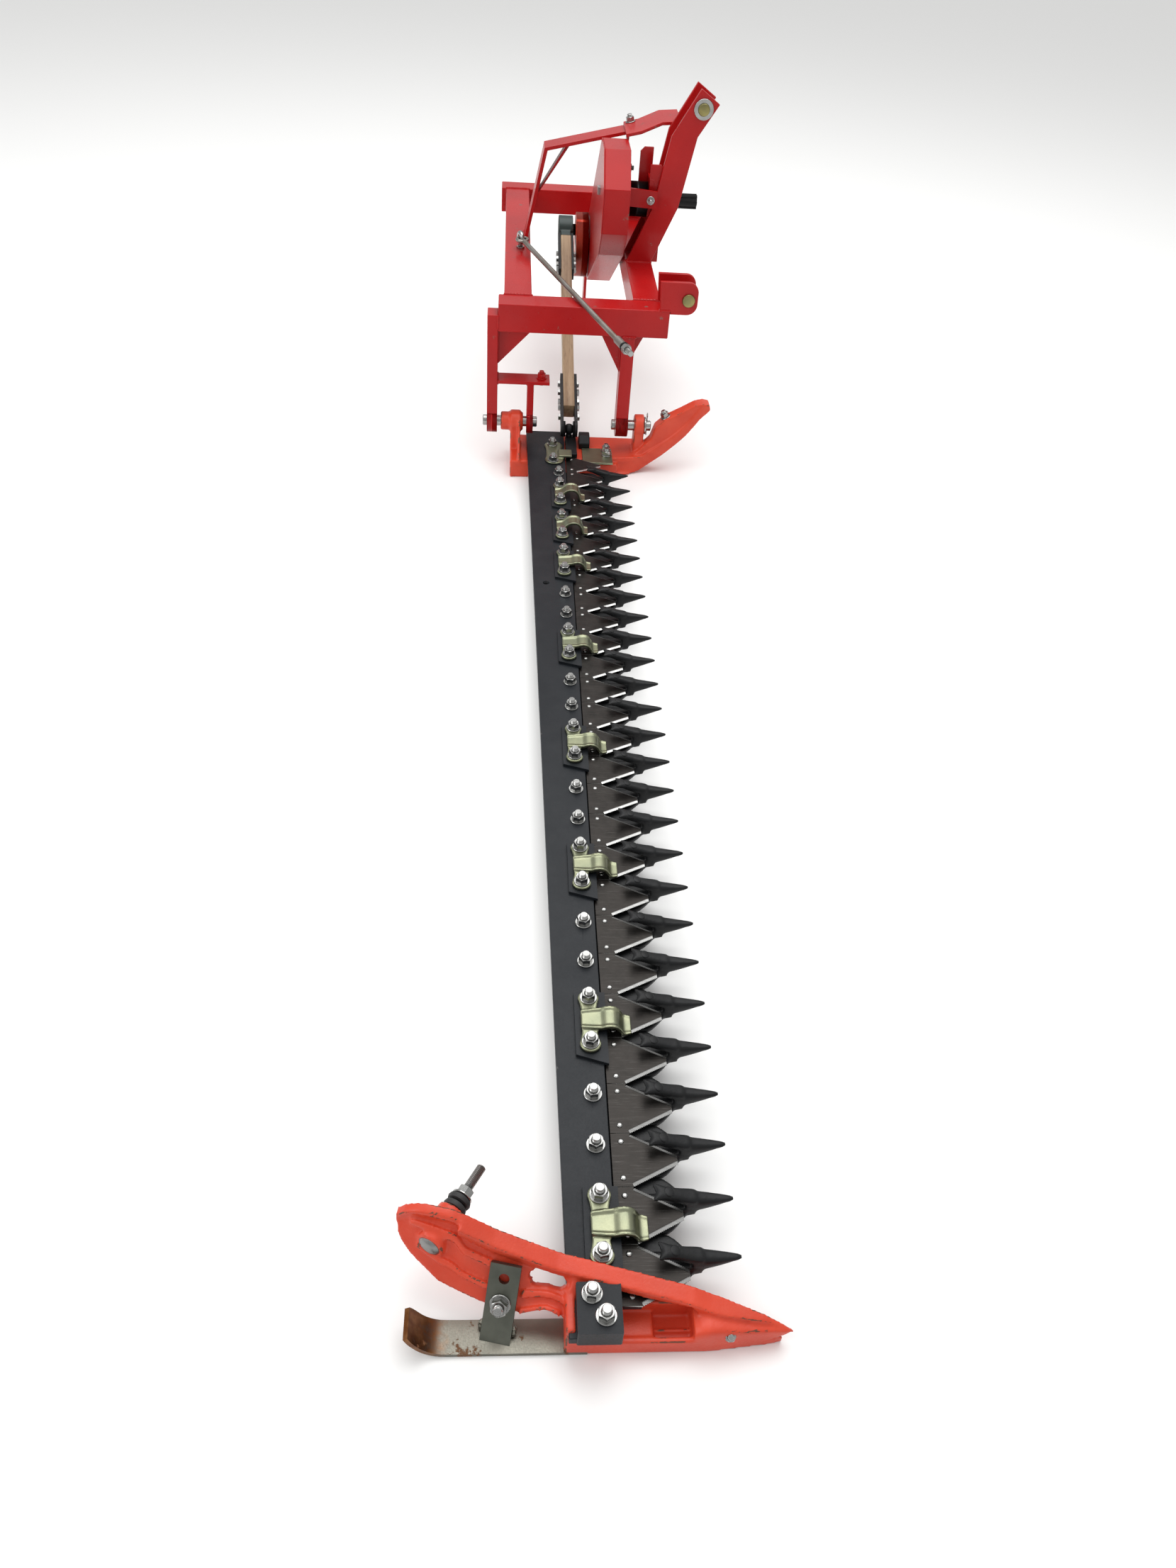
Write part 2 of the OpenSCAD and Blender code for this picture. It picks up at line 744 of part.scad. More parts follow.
module stay_rod() {
    color(steel) along_rod() {
        difference() {
            union() {
                translate([link_ring_r, 0, 0]) ring(link_ring_r, link_wire_r);
                translate([2 * link_ring_r, 0, 0]) rod_x(rod_r, rod_len - 2 * link_ring_r);
            }
            translate([link_ring_r, 0, -rod_r]) cylinder(r = link_ring_r - link_wire_r, h = 2 * rod_r);
        }
        translate([rod_len - rod_nut_from_end, 0, 0]) difference() {
            rotate([0, 90, 0]) cylinder(r = nut_r, h = rod_nut_h, $fn = nut_sides);
            translate([-over, 0, 0]) rod_x(rod_r + run_fit, rod_nut_h + 2 * over);
        }
        translate([rod_len - rod_nut_from_end - rod_sleeve_len, 0, 0]) difference() {
            rod_x(rod_sleeve_r, rod_sleeve_len);
            translate([-over, 0, 0]) rod_x(rod_r + run_fit, rod_sleeve_len + 2 * over);
        }
    }
}

// Parking stand under the far tube
stand_x = 101;
stand_t = 8;
stand_w = 60;
stand_foot = 90;
stand_foot_t = 8;
module parking_stand() {
    mid_y = far_y + beam / 2;
    color(red) {
        translate([stand_x, mid_y - stand_w / 2, stand_foot_t])
            cube([stand_t, stand_w, frame_h - stand_foot_t]);
        translate([stand_x + (stand_t - stand_foot) / 2, mid_y - stand_foot / 2, 0])
            cube([stand_foot, stand_foot, stand_foot_t]);
    }
}

// Bolts of the hinge bracket, guard tab and mast brace
module frame_bolts() {
    color(steel) {
        translate([bracket_bolt_x, near_y + leg_d / 2, bracket_h - bracket_t]) {
            bolt(bracket_t);
            translate([0, 0, bracket_t]) nut_stack();
        }
        translate([guard_x1 - guard_wall, tab_y + tab_w / 2, tab_bolt_h]) rotate([0, 90, 0]) {
            bolt(guard_wall + tab_t);
            translate([0, 0, guard_wall + tab_t]) nut_stack();
        }
        brace_bolt_frame() {
            translate([0, 0, -arm_t * cos(arm_pitch)]) bolt((arm_t + brace_plate_t) * cos(arm_pitch));
            translate([0, 0, brace_plate_t * cos(arm_pitch)]) nut_stack();
        }
    }
}

// Cutter bar, tapered towards its outer end
bar_inner_y = 100;
bar_outer_past = 95;
bar_bottom = bar_top - bar_t;
stay_hole_y = 619;
stay_hole_x = -39;
stay_hole_r = 7;
function guard_y(i) = -guard_inset - pitch * i;
bar_outer_y = guard_y(guard_count - 1) - bar_outer_past;

module guard_holes(r, z, h) {
    for (i = [0 : guard_count - 1]) translate([0, guard_y(i), z]) cylinder(r = r, h = h);
}

module cutter_bar() {
    color(slate) difference() {
        translate([0, 0, bar_bottom]) linear_extrude(bar_t)
            polygon([[bar_front, bar_inner_y], [-bar_rear_inner, bar_inner_y],
                     [-bar_rear_outer, bar_outer_y], [bar_front, bar_outer_y]]);
        guard_holes(hole_r, bar_bottom - over, bar_t + 2 * over);
        translate([0, guard_y(guard_count), bar_bottom - over]) cylinder(r = hole_r, h = bar_t + 2 * over);
        for (y = cap_bolt_ys) translate([cap_bolt_x, y, bar_bottom - over])
            cylinder(r = hole_r, h = bar_t + 2 * over);
        translate([stay_hole_x, -stay_hole_y, bar_bottom - over])
            cylinder(r = stay_hole_r, h = bar_t + 2 * over);
    }
}

// Guard fingers: a cast base with scallops, a ledger under the knife, a lip over it and a point
guard_gap = 0.8;
guard_base_t = 10;
guard_back = 18;
scallop_r = 26;
scallop_front = 119;
ledger_drop = 6;
ledger_gap = 0.4;
ledger_x = 46;
ledger_w = 24;
lip_x = 65;
lip_w = 15;
lip_gap = 0.8;
lip_rise = 12;
slot_end = 107;
point_w = 6;
point_h = 4;
belly_x = 118;
belly_drop = 3;
boss_r = 8.5;
boss_x = 72;
boss_y = 17;
boss_drop = 2;
base_step = 2;
tip_rise = 2;
ledger_taper = 1;
belly_share = 0.6;
belly_rise_share = 0.4;
brow_share = 0.5;
brow_rise_share = 0.8;
crown_share = 0.7;
lip_back_share = 0.7;
knife_z = bar_top - ledger_drop;
section_top = knife_z + section_t;
guard_top = bar_bottom;
guard_bottom = guard_top - guard_base_t;
base_front_h = guard_base_t - base_step;
lip_z = section_top + lip_gap;
tip_z = bar_top + tip_rise;

module guard() {
    half = pitch / 2 - guard_gap / 2;
    difference() {
        union() {
            translate([0, 0, guard_bottom]) linear_extrude(base_front_h) difference() {
                translate([-guard_back, -half]) square([guard_back + scallop_front, 2 * half]);
                for (side = [-1, 1]) translate([scallop_front, side * pitch / 2]) circle(r = scallop_r);
            }
            translate([-guard_back, -half, guard_bottom])
                cube([guard_back + bar_front, 2 * half, guard_base_t]);
            intersection() {
                translate([0, ledger_w / 2, 0]) rotate([90, 0, 0]) linear_extrude(ledger_w)
                    polygon([[ledger_x, guard_bottom], [belly_x, guard_bottom - belly_drop],
                             [along(belly_x, finger_reach, belly_share),
                              along(guard_bottom, tip_z, belly_rise_share)],
                             [finger_reach, tip_z - point_h / 2], [finger_reach, tip_z + point_h / 2],
                             [along(belly_x, finger_reach, brow_share), lip_z + lip_rise * brow_rise_share],
                             [along(lip_x, belly_x, crown_share), lip_z + lip_rise],
                             [lip_x + lip_rise / 2, lip_z + lip_rise * lip_back_share], [lip_x, lip_z],
                             [lip_x, knife_z - ledger_gap], [ledger_x, knife_z - ledger_gap]]);
                linear_extrude(bar_top + 2 * lip_rise)
                    polygon([[ledger_x, ledger_w / 2], [slot_end, ledger_w / 2 - ledger_taper],
                             [finger_reach, point_w / 2],
                             [finger_reach, -point_w / 2], [slot_end, -ledger_w / 2 + ledger_taper],
                             [ledger_x, -ledger_w / 2]]);
            }
            translate([boss_x, boss_y, guard_bottom])
                cylinder(r = boss_r, h = knife_z - boss_drop - guard_bottom);
        }
        translate([lip_x - over, -ledger_w, knife_z - ledger_gap])
            cube([slot_end - lip_x + over, 2 * ledger_w, section_t + ledger_gap + lip_gap]);
        for (side = [-1, 1])
            translate([lip_x - over, side * (lip_w / 2 + ledger_w) - ledger_w, lip_z - over])
                cube([slot_end - lip_x - lip_rise, 2 * ledger_w, 2 * lip_rise]);
        translate([0, 0, guard_bottom - over]) cylinder(r = hole_r, h = guard_base_t + 2 * over);
    }
}

guard_third = ceil(guard_count / 3);
module guard_run(first, last) {
    color(black) for (i = [first : last]) translate([0, guard_y(i), 0]) guard();
}
module guards_inner() { guard_run(0, guard_third - 1); }
module guards_middle() { guard_run(guard_third, 2 * guard_third - 1); }
module guards_outer() { guard_run(2 * guard_third, guard_count - 1); }

// Hold-down clips on pairs of guard bolts, counted from the inner shoe, each on a wear plate
arched_firsts = [1, 3];
low_start_count = 5;
low_step_count = 4;
low_firsts = [for (i = [low_start_count : low_step_count : guard_count - 2]) i];
clip_t = 6;
clip_back = 14;
clip_front = 15;
clip_end = 15;
clip_nose_x = 58;
clip_w = 37;
clip_arch = 13;
clip_gap = 0.5;
wear_t = 5;
wear_back = 20;
wear_front = 24;
wear_slant = 18;
clip_z = bar_top + wear_t;
clipped = [for (f = concat(arched_firsts, low_firsts)) each [f, f + 1]];
function has_clip(i) = len([for (c = clipped) if (c == i) c]) > 0;
function grip(i) = guard_base_t + bar_t + (has_clip(i) ? wear_t + clip_t : 0);

module guard_bolts() {
    color(steel) for (i = [0 : guard_count - 1]) translate([0, guard_y(i), guard_bottom]) {
        bolt(grip(i));
        translate([0, 0, grip(i)]) nut_stack();
    }
}

module pair_holes(first, z, h) {
    for (i = [first, first + 1]) translate([0, guard_y(i), z - over]) cylinder(r = hole_r, h = h + 2 * over);
}

module wear_plates() {
    color(black) for (f = concat(arched_firsts, low_firsts)) difference() {
        translate([0, guard_y(f + 1), bar_top]) linear_extrude(wear_t)
            polygon([[-wear_back, -clip_end - wear_slant], [wear_front, -clip_end],
                     [wear_front, pitch + clip_end], [-wear_back, pitch + clip_end]]);
        pair_holes(f, bar_top, wear_t);
    }
}

// A clip: a strip across two bolts and a nose that reaches over the knife
module clip(first, arch) {
    nose_z = section_top + clip_gap;
    difference() {
        union() {
            translate([-clip_back, guard_y(first + 1) - clip_end, clip_z])
                cube([clip_back + clip_front, pitch + 2 * clip_end, clip_t]);
            translate([0, guard_y(first + 1) + (pitch - clip_w) / 2, 0])
                plate_xz([[0, clip_z], [clip_front + clip_t, clip_z],
                          [wear_front + clip_t, clip_z + arch / 2],
                          [clip_nose_x - clip_t, nose_z], [clip_nose_x, nose_z],
                          [clip_nose_x, nose_z + clip_t / 2],
                          [wear_front + 2 * clip_t, clip_z + clip_t + arch],
                          [clip_front, clip_z + clip_t + arch], [0, clip_z + clip_t]], clip_w);
        }
        pair_holes(first, clip_z, clip_t);
    }
}

module low_clips() {
    color(zinc) for (f = low_firsts) clip(f, 0);
}

module arched_clips() {
    color(zinc) for (f = arched_firsts) clip(f, clip_arch);
}

// Knife: a flat back with riveted sections and the head that the pitman drives
knife_x = 22;
section_x = 20;
section_edge = 0.4;
rivet_r = 4;
rivet_h = 2;
rivet_dome = 6;
rivet_spread = 52;
rivet_in = 13;
bevel_x = 25;
knife_inner_y = 30;
section_first = -1;
function section_y(i) = guard_y(i) - knife_rest;
knife_outer_y = section_y(guard_count - 1) - pitch / 2;

module knife_bar() {
    color(slate) translate([knife_x, knife_outer_y, knife_z - knife_back_t])
        cube([knife_back_w, knife_inner_y - knife_outer_y, knife_back_t]);
}

module sections() {
    half = pitch / 2 - section_edge / 2;
    color(steel) for (i = [section_first : guard_count - 1])
        translate([section_x, section_y(i), knife_z]) linear_extrude(section_t)
            polygon([[0, -half], [bevel_x, -half], [section_len, -section_tip_w / 2],
                     [section_len, section_tip_w / 2], [bevel_x, half], [0, half]]);
}

module rivets() {
    color(steel) for (i = [section_first : guard_count - 1], side = [-1, 1])
        translate([section_x + rivet_in, section_y(i) + side * rivet_spread / 2, section_top])
            intersection() {
                cylinder(r = rivet_r, h = rivet_h);
                translate([0, 0, rivet_h - rivet_dome]) sphere(r = rivet_dome);
            }
}

// Inner shoe: runner with a turned-up nose, a pad under the bar, two hinge lugs and a fin
shoe_back = 140;
runner_front = 150;
nose_angle = 62;
pad_back = 141;
pad_front = front_lug_x + front_lug_t;
pad_inner_y = 105;
pad_outer_y = -85;
pad_z = guard_bottom;
lug_half = 24;
lug_eye_r = 27;
fin_x = -100;
fin_end_y = -155;
fin_rise = 15;
fin_low = 12;
rib_y = runner_w / 2 - cast_t;

nose_tip_t = 16;
nose_steps = 14;
// Points along the nose in X and Z, inside its sole by a depth that grows from the tip to the runner
function nose_depth(share) = along(guard_top, nose_tip_t, share);
function nose_point(share, depth) = [runner_front + (nose_r - depth) * sin(nose_angle * share),
                                     nose_r - (nose_r - depth) * cos(nose_angle * share)];
nose_arc = [for (i = [0 : nose_steps]) nose_point(i / nose_steps, 0)];
nose_back = [for (i = [nose_steps : -1 : 0]) nose_point(i / nose_steps, nose_depth(i / nose_steps))];

module hinge_lug(x, thick) {
    difference() {
        union() {
            translate([x, hinge_y - lug_half, pad_z]) cube([thick, 2 * lug_half, hinge_h - pad_z]);
            translate([x, hinge_y, hinge_h]) rod_x(lug_eye_r, thick);
        }
        translate([x - over, hinge_y, hinge_h]) rod_x(pin_r + run_fit, thick + 2 * over);
    }
}

module inner_shoe() {
    color(orange) difference() {
        union() {
            translate([-shoe_back, -runner_w / 2, 0]) cube([shoe_back + runner_front, runner_w, cast_t]);
            translate([0, -runner_w / 2, 0]) plate_xz(concat(nose_arc, nose_back), runner_w);
            translate([-pad_back, pad_outer_y, pad_z])
                cube([pad_back + pad_front, pad_inner_y - pad_outer_y, guard_base_t]);
            for (side = [-1, 1]) translate([-shoe_back, side * (rib_y + cast_t / 2) - cast_t / 2, cast_t])
                cube([shoe_back + runner_front, cast_t, pad_z - cast_t]);
            hinge_lug(rear_lug_x, rear_lug_t);
            hinge_lug(front_lug_x, front_lug_t);
            translate([fin_x, 0, 0]) rotate([90, 0, 90]) linear_extrude(cast_t)
                polygon([[hinge_y - lug_half, pad_z], [hinge_y - lug_half, hinge_h + fin_rise],
                         [fin_end_y, pad_z + fin_low], [fin_end_y, pad_z]]);
        }
        for (y = cap_bolt_ys) translate([cap_bolt_x, y, pad_z - over])
            cylinder(r = hole_r, h = guard_base_t + 2 * over);
        for (y = guide_bolt_ys) translate([guide_bolt_x, y, pad_z - over])
            cylinder(r = hole_r, h = guard_base_t + 2 * over);
    }
}

// Cap that keeps the knife head down, on the inner end of the bar
cap_back = 34;
cap_front = 16;
cap_t = 5;
cap_outer_y = -83;
cap_inner_y = 35;
cap_bolt_x = -12;
cap_bolt_outer = 70;
cap_bolt_inner = 15;
cap_bolt_ys = [-cap_bolt_outer, cap_bolt_inner];
cap_lip_front = 34;
cap_lip_t = 6;
cap_step_gap = 1;
cap_lip_y0 = -56;
cap_lip_y1 = -20;
head_t = 11;
head_top = knife_z + head_t;
cap_step_x = cap_bolt_x + washer_r + cap_step_gap;

module head_cap() {
    color(zinc) difference() {
        union() {
            translate([-cap_back, cap_outer_y, bar_top])
                cube([cap_back + cap_front, cap_inner_y - cap_outer_y, cap_t]);
            translate([cap_step_x, cap_lip_y0, head_top + slide_gap])
                cube([cap_lip_front - cap_step_x, cap_lip_y1 - cap_lip_y0, cap_lip_t]);
            translate([cap_step_x, cap_lip_y0, bar_top])
                cube([cap_front - cap_step_x, cap_lip_y1 - cap_lip_y0, head_top + cap_lip_t - bar_top]);
        }
        for (y = cap_bolt_ys) translate([cap_bolt_x, y, bar_top - over])
            cylinder(r = hole_r, h = cap_t + 2 * over);
    }
}

// Guide casting in front of the knife head, and the wear plate beside it
guide_x = 55;
guide_w = 27;
guide_y0 = 30;
guide_y1 = 85;
guide_len = guide_y1 - guide_y0;
guide_rise = 29;
guide_plate_x = 62;
guide_plate_len = 74;
guide_plate_y0 = -50;
guide_plate_y1 = 28;
guide_plate_t = 5;
guide_bolt_x = 122;
guide_bolt_outer = 8;
guide_bolt_inner = 16;
guide_bolt_ys = [-guide_bolt_outer, guide_bolt_inner];
guide_high_share = 0.7;
guide_low_share = 0.3;

module head_guide() {
    color(black) translate([guide_x, guide_y0, guard_top]) rotate([90, 0, 90]) linear_extrude(guide_w)
        polygon([[0, 0], [guide_len, 0], [guide_len, guide_rise / 2],
                 [guide_len * guide_high_share, guide_rise],
                 [guide_len * guide_low_share, guide_rise], [0, guide_rise / 2]]);
}

module guide_plate() {
    color(zinc) difference() {
        translate([guide_plate_x, guide_plate_y0, guard_top])
            cube([guide_plate_len, guide_plate_y1 - guide_plate_y0, guide_plate_t]);
        for (y = guide_bolt_ys) translate([guide_bolt_x, y, guard_top - over])
            cylinder(r = hole_r, h = guide_plate_t + 2 * over);
    }
}

module shoe_bolts() {
    cap_grip = guard_base_t + bar_t + cap_t;
    guide_grip = guard_base_t + guide_plate_t;
    color(steel) {
        for (y = cap_bolt_ys) translate([cap_bolt_x, y, pad_z]) {
            bolt(cap_grip);
            translate([0, 0, cap_grip]) nut_stack();
        }
        for (y = guide_bolt_ys) translate([guide_bolt_x, y, pad_z]) {
            bolt(guide_grip);
            translate([0, 0, guide_grip]) nut_stack();
        }
        translate([0, outer_y, pad_z]) {
            bolt(end_grip);
            translate([0, 0, end_grip]) nut_stack();
        }
        web_frame() translate([skid_bolt_s, -skid_t, skid_bolt_h]) rotate([-90, 0, 0]) {
            bolt(skid_t + cast_t);
            translate([0, 0, skid_t + cast_t]) nut_stack();
        }
    }
}

// Outer shoe: a sole under the bar end, a pointed nose, a rail over all of it and a leaning rear web
outer_y = guard_y(guard_count);
outer_near = 12;
outer_far = 36;
outer_back = 35;
outer_tip = 220;
outer_sole_end = 150;
bar_seat_gap = 1;
outer_slot_x = bar_front + bar_seat_gap;
outer_brow_h = 52;
outer_nose_h = 38;
outer_pocket_end = 96;
sole_side_share = 0.8;
nose_near_share = 0.9;
nose_far_share = 0.93;
nose_flank_share = 0.4;
nose_keel_share = 0.92;
nose_brow_share = 0.98;
keel_rise_share = 0.3;
tip_rise_share = 0.8;

// The rail runs straight in plan from the heel to the tip, and its top falls all the way
rail_heel_x = 225;
rail_heel_y = 104;
rail_tip_y = 2;
rail_w = 22;
rail_t = 12;
rail_top = 128;
rail_point_w = 8;
rail_run_shares = [0, 0.03, 0.12, 0.22, 0.39, 0.62, 0.77, 0.92, 1];
rail_high_shares = [0.875, 0.985, 1, 0.906, 0.78, 0.656, 0.547, 0.469, 0.336];
rail_taper_share = 0.8;
rail_last = len(rail_run_shares) - 1;
rail_web_first = 5;
rail_web_last = 6;
rail_angle = atan2(rail_tip_y - rail_heel_y, outer_tip + rail_heel_x);
rail_len = norm([rail_tip_y - rail_heel_y, outer_tip + rail_heel_x]);
function rail_point(i, drop) = [rail_len * rail_run_shares[i], rail_top * rail_high_shares[i] - drop];

// The rear web leans away from the bar's end, from its foot up into the rail
web_foot_h = 14;
web_foot_in = 66;
web_lean = 35;
web_sink = 4;
web_rear_last = 4;
web_low_shares = [[0.474, 0], [0.263, 0], [0.219, 0.1], [0.138, 0.33], [0.039, 0.47], [0, 0.7]];
web_slot_run_share = 0.345;
web_slot_high_share = 0.6;
web_slot_len = 34;
web_slot_r = 7.5;
web_h = (rail_top - web_foot_h) / cos(web_lean);
web_low = [for (p = web_low_shares) [rail_len * p[0], web_h * p[1]]];
function web_high(i) = (rail_point(i, 0)[1] - web_sink - web_foot_h) / cos(web_lean);

// Frame of the rail: X along it from the heel, Y across it to the headstock, Z up
module rail_frame() {
    translate([-rail_heel_x, outer_y + rail_heel_y, 0]) rotate([0, 0, rail_angle]) children();
}

// Frame of the near face of the rear web: X along it from the heel, Y into it, Z up its slope
module web_frame() {
    rail_frame() translate([0, -web_foot_in, web_foot_h]) rotate([-web_lean, 0, 0]) children();
}

// The sole and nose, cut out for the bar, the knife and the hollow under the bar's end
module shoe_body() {
    slot_z = guard_top + ledger_gap / 2;
    difference() {
        intersection() {
            linear_extrude(rail_top)
                polygon([[-outer_back, -outer_near], [outer_sole_end * sole_side_share, -outer_near],
                         [outer_tip * nose_near_share, -outer_near / 3], [outer_tip, 0],
                         [outer_tip * nose_far_share, outer_near / 2],
                         [outer_sole_end, outer_far * nose_flank_share],
                         [outer_pocket_end, outer_far], [-outer_back, outer_far]]);
            translate([0, -outer_near, 0])
                plate_xz([[-outer_back, 0], [outer_sole_end, 0],
                          [outer_tip * nose_keel_share, outer_nose_h * keel_rise_share],
                          [outer_tip, outer_nose_h * tip_rise_share],
                          [outer_tip * nose_brow_share, outer_nose_h], [outer_sole_end, outer_brow_h],
                          [slot_end, outer_brow_h + cast_t], [slot_end, guard_top],
                          [-outer_back, guard_top]], outer_far + outer_near);
        }
        translate([outer_slot_x, -outer_tip, slot_z])
            cube([slot_end - outer_slot_x, 2 * outer_tip, lip_z - slot_z]);
        translate([-outer_back + cast_t, -outer_tip, cast_t])
            cube([outer_pocket_end + outer_back - 2 * cast_t, 2 * outer_tip, pad_z - cast_t]);
    }
}

module shoe_web() {
    tops = [for (i = [0 : web_rear_last]) [rail_point(i, 0)[0], web_high(i)]];
    web_frame() difference() {
        plate_xz(concat(tops, [[web_low[0][0], web_high(web_rear_last)]], web_low), cast_t);
        translate([rail_len * web_slot_run_share, -over, web_h * web_slot_high_share]) rotate([-90, 0, 0])
            linear_extrude(cast_t + 2 * over) hull() for (side = [-1, 1])
                translate([side * web_slot_len / 2, 0]) circle(r = web_slot_r);
    }
}

module shoe_rail() {
    half = rail_w / 2;
    start = rail_len * rail_taper_share;
    rail_frame() intersection() {
        translate([0, -half, 0])
            plate_xz(concat([for (i = [0 : rail_last]) rail_point(i, 0)],
                            [for (i = [rail_last : -1 : 0]) rail_point(i, rail_t)]), rail_w);
        linear_extrude(2 * rail_top)
            polygon([[0, -half], [start, -half], [rail_len, -rail_point_w / 2], [rail_len, rail_point_w / 2],
                     [start, half], [0, half]]);
    }
    rail_frame() translate([0, -cast_t / 2, 0])
        plate_xz([[rail_point(rail_web_first, 0)[0], lip_z], [rail_point(rail_web_last, 0)[0], lip_z],
                  rail_point(rail_web_last, over), rail_point(rail_web_first, over)], cast_t);
}

module outer_shoe() {
    color(orange) difference() {
        union() {
            translate([0, outer_y, 0]) shoe_body();
            difference() {
                shoe_web();
                translate([-bar_rear_outer - bar_seat_gap, outer_y - outer_tip, guard_top])
                    cube([bar_rear_outer + outer_tip, 2 * outer_tip, rail_top]);
            }
            shoe_rail();
            stud_frame() translate([0, 0, -boss_proud])
                cylinder(r = stud_boss_r, h = boss_proud + stud_boss_len);
        }
        translate([0, outer_y, pad_z - over]) cylinder(r = hole_r, h = guard_base_t + 2 * over);
        web_frame() translate([skid_bolt_s, -over, skid_bolt_h]) rotate([-90, 0, 0])
            cylinder(r = hole_r, h = 3 * cast_t);
        stud_frame() translate([0, 0, -boss_proud - over])
            cylinder(r = stud_d / 2 + bolt_room, h = boss_proud + stud_boss_len + 2 * over);
        stud_frame() translate([0, 0, -boss_proud - 2 * stud_head_t])
            cylinder(r = stud_head_r + spot_room, h = 2 * stud_head_t);
    }
}

// Block that closes the outer end of the bar
block_back = 33;
block_front = 17;
block_t = 15;
block_far = 40;
end_grip = guard_base_t + bar_t + block_t;
module end_block() {
    color(black) difference() {
        translate([-block_back, outer_y - outer_near, bar_top])
            cube([block_back + block_front, outer_near + block_far, block_t]);
        translate([0, outer_y, bar_top - over]) cylinder(r = hole_r, h = block_t + 2 * over);
    }
}

// Height skid behind the outer shoe, a bent strip with a bracket bolted to the rear wall
skid_t = 6;
skid_front = 37;
skid_rear = 233;
skid_near = 14;
skid_far = 31;
skid_lift = 34;
skid_bolt_s = 120;
skid_bolt_h = 34;
bracket_w = 36;
bracket_top = 82;
bracket_sink = 15;
bracket_hole_h = 65;
module skid() {
    color(steel) difference() {
        union() {
            translate([-skid_rear, outer_y - skid_near, 0])
                cube([skid_rear - skid_front, skid_near + skid_far, skid_t]);
            translate([-skid_rear, outer_y - skid_near, 0]) cube([skid_t, skid_near + skid_far, skid_lift]);
            web_frame() translate([skid_bolt_s - bracket_w / 2, -skid_t, -bracket_sink])
                cube([bracket_w, skid_t, bracket_top + bracket_sink]);
        }
        web_frame() for (h = [skid_bolt_h, bracket_hole_h]) translate([skid_bolt_s, -skid_t - over, h])
            rotate([-90, 0, 0]) cylinder(r = hole_r, h = skid_t + 2 * over);
    }
}

// Stud for the swath board through the heel of the outer shoe, with its rubber washers and nut
stud_s = 30.4;
stud_in = 14;
stud_h = 88;
stud_skew_angle = 17.2;
stud_len = 109;
stud_boss_r = 18;
stud_boss_len = 42;
boss_proud = 8;
thread_step = 1;
stud_head_r = 14;
stud_head_t = 6;
spot_room = 2;
rubber_r = 17;
rubber_t = 10;
rubber_count = 2;
rubber_gap = 0.2;
// Frame of the stud: Z along it, from the near face of the web to the headstock
module stud_frame() {
    rail_frame() translate([stud_s, -stud_in, stud_h]) rotate([0, 0, -stud_skew_angle]) rotate([-90, 0, 0])
        children();
}

module swath_stud() {
    rubber_z = stud_boss_len + rubber_count * rubber_t;
    color(steel) stud_frame() {
        translate([0, 0, -boss_proud - stud_head_t]) cylinder(r = stud_head_r, h = stud_head_t);
        translate([0, 0, -boss_proud]) cylinder(r = stud_d / 2, h = boss_proud + rubber_z + washer_t + nut_h);
        cylinder(r = stud_d / 2 - thread_step, h = stud_len);
        translate([0, 0, rubber_z]) difference() {
            union() {
                cylinder(r = rubber_r, h = washer_t);
                translate([0, 0, washer_t]) cylinder(r = nut_r, h = nut_h, $fn = nut_sides);
            }
            translate([0, 0, -over]) cylinder(r = stud_d / 2 + run_fit, h = nut_h + washer_t + 2 * over);
        }
    }
}

module rubber_washers() {
    color(rubber) stud_frame() for (i = [0 : rubber_count - 1])
        translate([0, 0, stud_boss_len + i * rubber_t]) difference() {
            cylinder(r = rubber_r, h = rubber_t - rubber_gap);
            translate([0, 0, -over]) cylinder(r = stud_d / 2 + run_fit, h = rubber_t + 2 * over);
        }
}

// Knife head: a block on the inner end of the knife back with a ball on a stem
head_inner_y = 76;
head_outer_y = section_y(section_first) + pitch / 2 + slide_gap;
head_w = 26;
ball_y = 64;
ball_h = 80;
ball_r = 13;
stem_r = 7;
module knife_head() {
    color(black) {
        translate([knife_x, head_outer_y, knife_z]) cube([head_w, head_inner_y - head_outer_y, head_t]);
        translate([knife_x, knife_inner_y, knife_z - knife_back_t])
            cube([head_w, head_inner_y - knife_inner_y, knife_back_t]);
        translate([pitman_x, ball_y, knife_z]) cylinder(r = stem_r, h = ball_h - knife_z);
        translate([pitman_x, ball_y, ball_h]) sphere(r = ball_r);
    }
}

// Pitman: a wooden rod between the ball of the knife head and the crank pin
pitman_len = norm([pin_y - ball_y, pin_z - ball_h]);
pitman_rise = atan2(pin_z - ball_h, pin_y - ball_y);
rod_half_x = 14;
rod_half_z = 20;
pitman_strap_t = 7;
small_strap_len = 176;
big_strap_len = 150;
strap_half_z = 17;
jaw_r = 19;
jaw_slot = 9.5;
jaw_gap = 0.4;
wood_start = 60;
shank_len = 50;
big_end_r = 36;
strap_end_gap = 1;
clamp_at = 40;
strap_bolt_r = 5;
strap_nut_r = 8.5;
strap_nut_h = 6;
small_bolts_share = [0.42, 0.52, 0.72, 0.88];
big_bolts_share = [0.12, 0.26, 0.40, 0.53];
bolt_half = rod_half_x + pitman_strap_t;

// Frame of the pitman: Y along it from the ball to the crank pin, X across it, Z over it
module pitman_frame() {
    translate([pitman_x, ball_y, ball_h]) rotate([pitman_rise, 0, 0]) children();
}

function small_bolt(i) = small_strap_len * small_bolts_share[i];
big_strap_y = pitman_len - big_end_r - strap_end_gap - big_strap_len;
function big_bolt(i) = big_strap_y + big_strap_len * big_bolts_share[i];
strap_bolt_ys = [for (i = [0 : len(small_bolts_share) - 1]) each [small_bolt(i), big_bolt(i)]];

